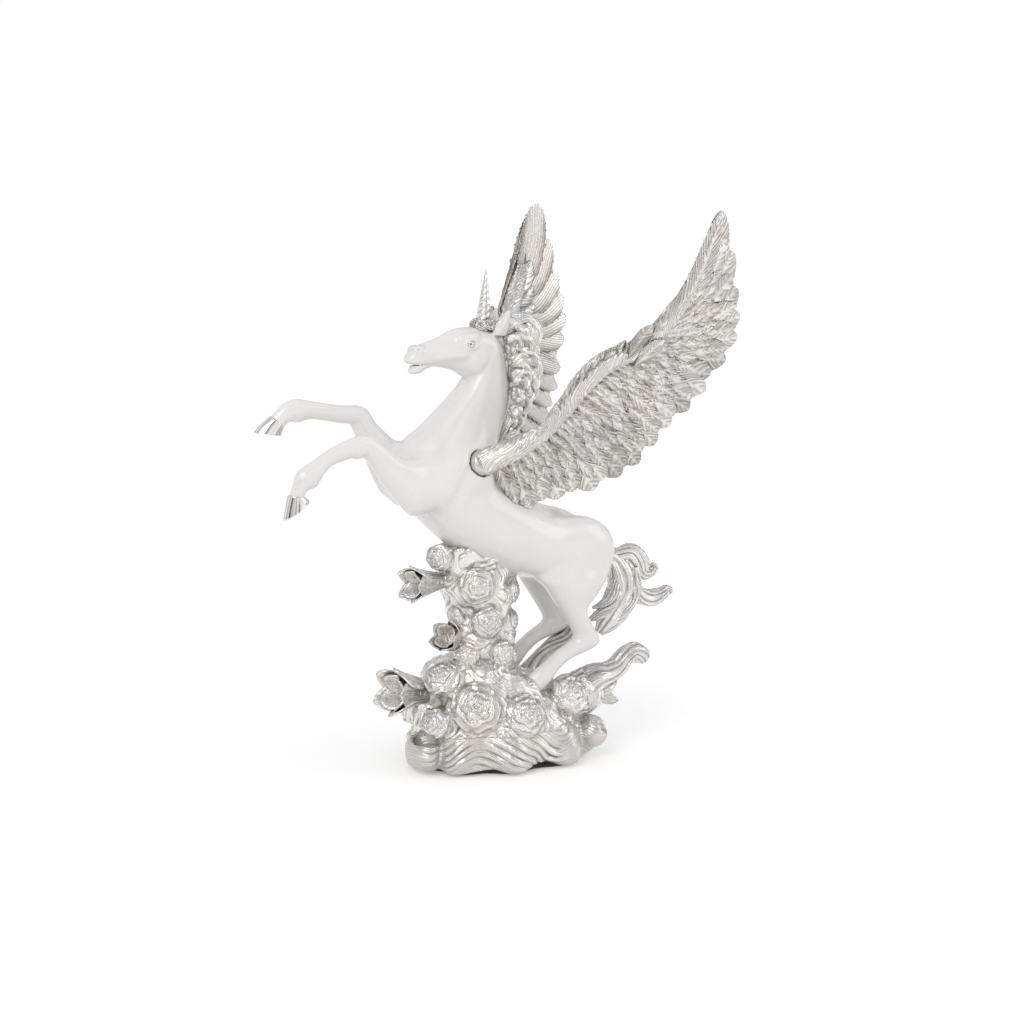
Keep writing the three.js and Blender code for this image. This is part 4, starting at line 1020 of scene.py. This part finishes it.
# Hooves from coronet to ground: [front x, front z, back x, back z, half width, y]
HIND_HOOF = [[18, 87, 32, 69, 9, -30], [3, 76, 30, 58, 11, -30], [-7, 65, 25, 52, 12, -30]]
LEFT_FORE_HOOF = [
    [-238, 288, -221, 285.5, 8.5, -29], [-241, 275.5, -217.5, 283, 9, -29],
    [-243.5, 263.5, -216.5, 280.5, 9.5, -29],
]
RIGHT_FORE_HOOF = [
    [-231, 357.5, -218, 343, 8.5, 29], [-241, 349.5, -219, 340, 9, 29],
    [-248.5, 341.5, -220, 337.5, 9.5, 29],
]

# Rings that hollow a hoof's sole: [share of its size, how far in]
SOLE_RINGS = [[0.86, 0.2], [0.8, 1.6], [0.3, 2.0]]

# Horn and the wreath round its foot
HORN_FOOT = np.array([-17.0, 0, 433])
HORN_TIP = np.array([-12.5, 0, 493])
HORN_RADIUS = 7.2
HORN_BANDS, HORN_TURNS = 3, 3.1
WREATH_AT = np.array([-16.0, 0, 439])
WREATH_RADIUS = 9.5
WREATH_THICKNESS = 3.4
WREATH_ROSES, BLOSSOM_RADIUS = 7, 5.8
BLOSSOM_REACH, BLOSSOM_LIFT = 11, 1.2
FIRST_BLOSSOM, BLOSSOM_TILT = 12, 22

# Eyeball with a raised iris and a sunk pupil: [radius, place along its axis, painted shade, darkest
# in the pupil, round the iris and where the lids meet the ball]
EYEBALL = [
    [0.2, 4.0, 1], [1.1, 4.0, 1], [1.3, 5.0, 0.4], [2.3, 4.85, 0], [2.8, 4.6, 0.2], [3.1, 4.1, 0.9],
    [3.6, 3.7, 0.3], [4.5, 2.3, 0.1], [5.0, 0, 0.6], [4.2, -2.6, 0], [2, -4.2, 0], [0.2, -4.8, 0],
]
EYEBALL_AT = EYE + [0, 1.0, 0]
GAZE = [-0.3, -1, 0.05]

# Ends and grip grooves of the steel bars
CHAMFER = 0.7
GROOVE = 0.3


def tangle(surface, stations, rng, count):
    """Adds thin locks that wander about the path of one thick lock."""
    rows = refine(stations, 3)
    normal = unit(np.cross(np.gradient(rows[:, :3], axis=0), [0, 1, 0]))
    t = np.linspace(0, 1, len(rows))
    for _ in range(count):
        (f, g), (p, q) = rng.uniform(0.7, 1.9, 2), rng.uniform(0, TAU, 2)
        strand = rows.copy()
        strand[:, 1] += 0.7 * rows[:, 3] * np.sin(TAU * f * t + p)
        strand[:, :3] += (0.7 * rows[:, 4] * np.sin(TAU * g * t + q))[:, None] * normal
        strand[:, 3:] = np.maximum(strand[:, 3:] * rng.uniform(0.34, 0.5), 1.7)
        lock(surface, strand, rng, sides=18, steps=3, strands=4, twist=0.4, height=0.8, shade=-0.14)


def mane_surface():
    rng = draws("mane")
    surface = Surface()
    lock(surface, MANE_CORE, rng, sides=48, steps=10, height=1.0, shade=0.0)
    for stations in MANE_LOCKS:
        tangle(surface, stations, rng, count=10)
    return surface


def tail_surface():
    rng = draws("tail")
    surface = Surface()
    for stations in TAIL_LOCKS:
        lock(surface, stations, rng, sides=60)
    return surface


def hoof_surface(stations):
    """Hoof with a smooth wall and a hollow sole."""
    rings = profile_rings(stations, sides=48, steps=14)
    middle = rings.mean(1, keepdims=True)
    t = np.linspace(0, 1, len(rings))[:, None, None]
    rounding = 1 - 0.06 * smooth_step(0.93, 1, t) - 0.05 * smooth_step(0.06, 0, t)
    rings = middle + (rings - middle) * rounding
    sole = rings[-1]
    centre = sole.mean(0)
    inward = unit(rings[0].mean(0) - centre)
    hollow = [centre + (sole - centre) * share + inward * lift for share, lift in SOLE_RINGS]
    return Surface().add(*capped(np.concatenate([rings, np.array(hollow)])))


def horn_surface():
    """Horn with rounded bands that wind up to the tip."""
    t, turn = np.linspace(0, 1, 110)[:, None], circle(48)[None]
    band = HORN_BANDS * (turn - TAU * HORN_TURNS * t)
    level = np.abs(np.cos(band / 2)) - 0.45 + 0.12 * np.sin(21 * turn + 60 * t)
    reach = HORN_RADIUS * (1 - 0.93 * t ** 1.5) + 1.3 * level * (1 - 0.8 * t)
    path = HORN_FOOT + t[..., None] * (HORN_TIP - HORN_FOOT)
    # Painted shade in the grooves between the bands
    depth = np.concatenate([np.clip(0.35 - level, 0, 1).ravel(), [0.5, 0]])
    return Surface().add(*capped(path + ovals(0, 0, reach, reach, turn)), depth)


def wreath_surface():
    """Ring of small roses round the horn's foot."""
    rng = draws("wreath")
    rows, columns = 48, 12
    a, b = circle(rows)[:, None], circle(columns)[None]
    reach = WREATH_RADIUS + WREATH_THICKNESS * np.cos(b)
    ring = WREATH_AT + ovals(0, WREATH_THICKNESS * np.sin(b), reach, reach, a)
    i, j = np.meshgrid(np.arange(rows), np.arange(columns), indexing="ij")
    n, m = (i + 1) % rows * columns, (j + 1) % columns
    i = i * columns
    quads = np.stack([i + j, n + j, n + m, i + m], -1).reshape(-1, 4)
    # The ring under the roses is painted dark as shade
    surface = Surface().add(ring, quads, depth=0.5)
    for k in range(WREATH_ROSES):
        azimuth = 360 * k / WREATH_ROSES + FIRST_BLOSSOM
        a = math.radians(azimuth)
        at = WREATH_AT + [BLOSSOM_REACH * math.sin(a), -BLOSSOM_REACH * math.cos(a), BLOSSOM_LIFT]
        spot = [*at, BLOSSOM_RADIUS, azimuth, BLOSSOM_TILT]
        rose(surface, spot, rng, rows=6, columns=8)
    return surface


def eye_surface():
    """Eyeball that looks out."""
    sides = 36
    form = turned([row[:2] for row in EYEBALL], EYEBALL_AT, GAZE, sides)
    return Surface().add(*form, np.repeat([row[2] for row in EYEBALL], sides))


def bar_surface(at, radius, inward, outward):
    """Steel bar along the pull with chamfered ends and two grip grooves."""
    r, end, low = radius, radius - CHAMFER, radius - GROOVE
    profile = [[0.2, -inward], [end, -inward], [r, CHAMFER - inward], [r, -3], [low, -2.6],
               [low, -2.2], [r, -1.8], [r, 1], [low, 1.4], [low, 1.8], [r, 2.2],
               [r, outward - CHAMFER], [end, outward], [0.2, outward]]
    return Surface().add(*turned(profile, at, PULL, sides=40))


# Materials, with lengths in metres
METAL = {"Metallic": 1.0}


def feed(tree, inputs, values):
    """Links outputs to a node's inputs, or sets plain values on them."""
    for key, value in values.items():
        if isinstance(value, bpy.types.NodeSocket):
            tree.links.new(value, inputs[key])
        else:
            inputs[key].default_value = value


def node(tree, kind, values=(), **settings):
    """New shader node with its settings and inputs."""
    made = tree.nodes.new("ShaderNode" + kind)
    for key, value in settings.items():
        setattr(made, key, value)
    feed(tree, made.inputs, dict(values))
    return made


def shader(name, values):
    """New material with plain values on its shader, with the shader's inputs and the tree."""
    material = bpy.data.materials.new(name)
    material.use_nodes = True
    tree = material.node_tree
    inputs = tree.nodes["Principled BSDF"].inputs
    feed(tree, inputs, values)
    return material, inputs, tree


def maths(tree, operation, *values):
    return node(tree, "Math", enumerate(values), operation=operation).outputs[0]


def noise(tree, scale, detail, rough=0.55, space="Object"):
    """Noise over the piece, with scale in waves per metre."""
    place = node(tree, "TexCoord").outputs[space]
    values = {"Vector": place, "Scale": scale, "Detail": detail, "Roughness": rough}
    return node(tree, "TexNoise", values).outputs["Fac"]


def ramp(tree, value, stops):
    """Colour along a value: stops are (place, colour)."""
    made = node(tree, "ValToRGB", {"Fac": value})
    elements = made.color_ramp.elements
    while len(elements) < len(stops):
        elements.new(0.5)
    for element, (place, colour) in zip(elements, stops):
        element.position = place
        element.color = (*colour, 1)
    return made.outputs["Color"]


def spread(tree, value, low, high, start=0.3, end=0.7):
    """Value carried from start and end to low and high."""
    values = {"Value": value, "From Min": start, "From Max": end, "To Min": low, "To Max": high}
    return node(tree, "MapRange", values).outputs["Result"]


def mix(tree, factor, a, b):
    values = {"Factor": factor, "A": a, "B": b}
    return node(tree, "Mix", values, data_type="RGBA").outputs["Result"]


def bump(tree, layers):
    """Stacked bumps: layers are (height, strength, distance in metres)."""
    under = {}
    for height, strength, distance in layers:
        values = {"Height": height, "Strength": strength, "Distance": distance}
        under = {"Normal": node(tree, "Bump", {**values, **under}).outputs["Normal"]}
    return under["Normal"]


def finish(name, tint, stops, wear, roughness, bumps, values):
    """Material with uneven colour, roughness and skin, each from noises."""
    material, inputs, tree = shader(name, values)
    layers = [(noise(tree, *skin), strength, distance) for skin, strength, distance in bumps]
    feed(tree, inputs, {"Base Color": ramp(tree, noise(tree, *tint), stops),
                        "Roughness": spread(tree, noise(tree, *wear), *roughness),
                        "Normal": bump(tree, layers)})
    return material


def silver(name, tone=1.0):
    """Plated silver with warm and cool patches, brown painted shade in the recesses and a crinkled
    cast skin.
    """
    material, inputs, tree = shader(name, METAL)
    deep, grain = (node(tree, "Attribute", attribute_name=key).outputs["Fac"]
                   for key in ("depth", "grain"))

    def tinted(scale, stops):
        toned = [(place, tuple(tone * part for part in colour)) for place, colour in stops]
        return ramp(tree, noise(tree, scale, 4), toned)

    bright = tinted(30, [(0.32, (0.75, 0.75, 0.752)), (0.52, (0.805, 0.79, 0.765)),
                         (0.68, (0.835, 0.79, 0.74))])
    # Brown for painted shade in the recesses and along the grain lines in them
    painted_shade_colour = tinted(90, [(0.3, (0.20, 0.175, 0.15)), (0.7, (0.42, 0.38, 0.34))])
    lines = maths(tree, "COSINE", maths(tree, "MULTIPLY", grain, TAU))
    # Painted shade along the grain lines, stronger where the point already has painted shade
    line_shade = maths(tree, "MULTIPLY", spread(tree, lines, 0, 0.22, 0.4, 1.0),
                  spread(tree, deep, 0.2, 1, 0, 0.4))
    painted_shade_mix = maths(tree, "ADD", spread(tree, deep, 0, 0.8, 0.2, 1.0), line_shade)
    rough = maths(tree, "ADD", spread(tree, noise(tree, 120, 4), 0.13, 0.28),
                  spread(tree, deep, 0, 0.2, 0.1, 0.7))
    skin = bump(tree, [(spread(tree, lines, 1, 0, -0.2, 1.0), 0.6, 0.0005),
                       (noise(tree, 240, 5), 0.38, 0.001), (noise(tree, 900, 3), 0.22, 0.0003)])
    colour = mix(tree, painted_shade_mix, bright, painted_shade_colour)
    feed(tree, inputs, {"Base Color": colour, "Roughness": rough, "Normal": skin})
    return material


# Gloss lacquer with faint orange peel, polished plate for the hooves, turned steel and pressed felt
WHITE = finish("white_lacquer", (14, 4),
               [(0.35, (0.8, 0.786, 0.765)), (0.65, (0.835, 0.824, 0.806))],
               (60, 3), (0.16, 0.28), [((45, 2), 0.05, 0.002), ((700, 2), 0.03, 0.0004)],
               {"Coat Weight": 0.5, "Coat Roughness": 0.05, "IOR": 1.5})
MIRROR = finish("silver_polished", (50, 4),
                [(0.35, (0.74, 0.73, 0.72)), (0.65, (0.84, 0.82, 0.795))],
                (140, 3), (0.05, 0.12), [((90, 2), 0.12, 0.001)], METAL)
STEEL = finish("steel", (200, 5), [(0.3, (0.34, 0.35, 0.37)), (0.7, (0.50, 0.51, 0.53))],
               (500, 4), (0.28, 0.46), [((1500, 2), 0.15, 0.0003)], METAL)
FELT = finish("felt", (900, 6, 0.75), [(0.3, (0.028, 0.028, 0.031)), (0.7, (0.075, 0.074, 0.078))],
              (300, 4), (0.85, 1.0), [((1200, 5, 0.8), 0.8, 0.0006)],
              {"Sheen Weight": 0.4, "Sheen Roughness": 0.6})
# A copy of the plate painted 13% lighter for the mane and the wreath, as painted light against the
# shade their locks and roses cast on each other
SILVER, SILVER_PAINTED_LIGHTER = silver("silver_plate"), silver("silver_plate_painted_lighter", tone=1.13)

# Pieces on their bodies, the two largest with a share of their faces
FEWER_FACES = 0.76
horse_form = horse_field()
horse = piece("horse_skin", Surface().add(*horse_form.skin()), WHITE, "statue",
              ["horse_body", "foreleg_left", "foreleg_right"])
base = piece("base_carving", base_surface(), SILVER, "statue", ["base_casting"])
for obj in (horse, base):
    obj.modifiers.new("Fewer faces", "DECIMATE").ratio = FEWER_FACES
for name, surface, material, solid in (
        ("column_carving", column_surface(), SILVER, "column_casting"),
        ("mane_locks", mane_surface(), SILVER_PAINTED_LIGHTER, "mane"),
        ("tail_locks", tail_surface(), SILVER, "tail"),
        ("horn_spiral", horn_surface(), SILVER, "horn"),
        ("wreath_roses", wreath_surface(), SILVER_PAINTED_LIGHTER, "horn_wreath")):
    piece(name, surface, material, "statue", [solid])
pad = piece("felt_pad", felt_surface(), FELT, "statue", ["base_felt"])
for name, rows in (("front_left", leg_rows(LEFT_FORE_HOOF)),
                   ("front_right", leg_rows(RIGHT_FORE_HOOF)),
                   ("hind_left", leg_rows(HIND_HOOF)),
                   ("hind_right", leg_rows(HIND_HOOF, *RIGHT_HIND_SHIFT, side=-1))):
    hoof = hoof_surface(rows)
    piece("hoof_wall_" + name, hoof, MIRROR, "statue", ["hoof_" + name])
left_eye, left_wing = eye_surface(), keep_clear(wing_surface(), horse_form)
left_peg = bar_surface(WING_ROOT, radius=4, inward=20, outward=9)
left_pin = bar_surface(PIN_ROOT, radius=2.5, inward=10, outward=7)
for side in ("left", "right"):
    wing = "wing_" + side
    for name, surface, material, body, slot, solid in (
            ("eyeball_", left_eye, SILVER, "statue", "silver_plate", "eye_" + side),
            ("plumage_", left_wing, SILVER, wing, "silver_plate", wing),
            ("peg_bar_", left_peg, STEEL, wing, "steel", wing + "_peg"),
            ("pin_bar_", left_pin, STEEL, wing, "steel", wing + "_pin")):
        own = surface if side == "left" else surface.mirrored()
        piece(name + side, own, material, body, [solid])

# Solids that stay, in steel
for name in ("column_rod", "rod_washer", "rod_nut", "foreleg_dowel_left", "foreleg_dowel_right",
             "hind_pin_left", "hind_pin_right", "tail_dowel"):
    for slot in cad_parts[name].material_slots:
        slot.material = STEEL

# Floor, lights, world and camera, in metres
scene.view_settings.view_transform = "Standard"
PAPER_WHITE = (1, 1, 1, 1)
PAPER_GREY, BLACK = (0.91, 0.91, 0.91), (0, 0, 0)
FLOOR_HALF = 12
FLOOR_NEAR, FLOOR_FAR = 0.25, 0.9
NEAR_GLOW, FAR_GLOW = 0.24, 0.86
FILL_STRENGTH = 0.72
ZONE_NOISE = (3.2, 1.5, 0.5)
ZONES = [(0.34, (0.15, 0.15, 0.165)), (0.45, (0.62, 0.62, 0.63)), (0.6, (1, 1, 1))]
TARGET = Vector((0.01255, -0.00668, 0.25364))
BACK = Vector((-0.4643, -0.8732, 0.1478))
CAMERA_DISTANCE = 2.4
LENS, SENSOR = 84.375, 36

# Lamps: [name, place, size, power]
LAMPS = [["key", (-1.6, -1.5, 1.9), 1.8, 19], ["side", (1.9, -1.2, 1.2), 1.6, 8]]


def place_object(name, data, at, towards):
    """Adds a lamp or camera that looks a way."""
    obj = bpy.data.objects.new(name, data)
    obj.location = at
    obj.rotation_euler = towards.to_track_quat("-Z", "Y").to_euler()
    scene.collection.objects.link(obj)
    return obj


def seen_rays(tree):
    """Rays of the camera, and those of the camera and of reflections."""
    rays = node(tree, "LightPath").outputs
    camera_ray = rays["Is Camera Ray"]
    return camera_ray, maths(tree, "MAXIMUM", camera_ray, rays["Is Glossy Ray"])


def floor():
    """Paper that is lit and shaded near the statue and fades to plain white away from it."""
    mesh = bpy.data.meshes.new("floor")
    corners = [(-1, -1), (1, -1), (1, 1), (-1, 1)]
    mesh.from_pydata([(FLOOR_HALF * x, FLOOR_HALF * y, 0) for x, y in corners], [], [(0, 1, 2, 3)])
    obj = bpy.data.objects.new("floor", mesh)
    scene.collection.objects.link(obj)
    material, inputs, tree = shader("floor_paper", {
        "Roughness": 0.9, "Specular IOR Level": 0.1, "Emission Color": PAPER_WHITE})
    _, seen = seen_rays(tree)
    place = node(tree, "TexCoord").outputs["Object"]
    away = node(tree, "VectorMath", {0: place}, operation="LENGTH").outputs["Value"]
    far = maths(tree, "MULTIPLY", spread(tree, away, 0, 1, FLOOR_NEAR, FLOOR_FAR), seen)
    near = spread(tree, seen, 0, NEAR_GLOW, 0, 1)
    feed(tree, inputs, {
        "Base Color": ramp(tree, far, [(0, PAPER_GREY), (1, BLACK)]),
        "Emission Strength": maths(tree, "MULTIPLY_ADD", far, FAR_GLOW, near)})
    mesh.materials.append(material)


def studio():
    """White to the camera, with soft grey zones in reflections, and a plain fill for the rest."""
    scene.world = bpy.data.worlds.new("studio")
    scene.world.use_nodes = True
    tree = scene.world.node_tree
    fill = tree.nodes["Background"]
    feed(tree, fill.inputs, {"Color": PAPER_WHITE, "Strength": FILL_STRENGTH})
    grey = ramp(tree, noise(tree, *ZONE_NOISE, space="Generated"), ZONES)
    camera_ray, seen = seen_rays(tree)
    shown = node(tree, "Background", {"Color": mix(tree, camera_ray, grey, PAPER_WHITE)})
    both = node(tree, "MixShader", {"Fac": seen, 1: fill.outputs[0], 2: shown.outputs[0]})
    feed(tree, tree.nodes["World Output"].inputs, {"Surface": both.outputs[0]})


floor()
studio()
for name, at, size, power in LAMPS:
    light = bpy.data.lights.new(name, "AREA")
    light.shape, light.size, light.energy = "DISK", size, power
    place_object(name, light, at, TARGET - Vector(at))
view = bpy.data.cameras.new("camera")
view.lens, view.sensor_width = LENS, SENSOR
scene.camera = place_object("camera", view, TARGET + CAMERA_DISTANCE * BACK, -BACK)
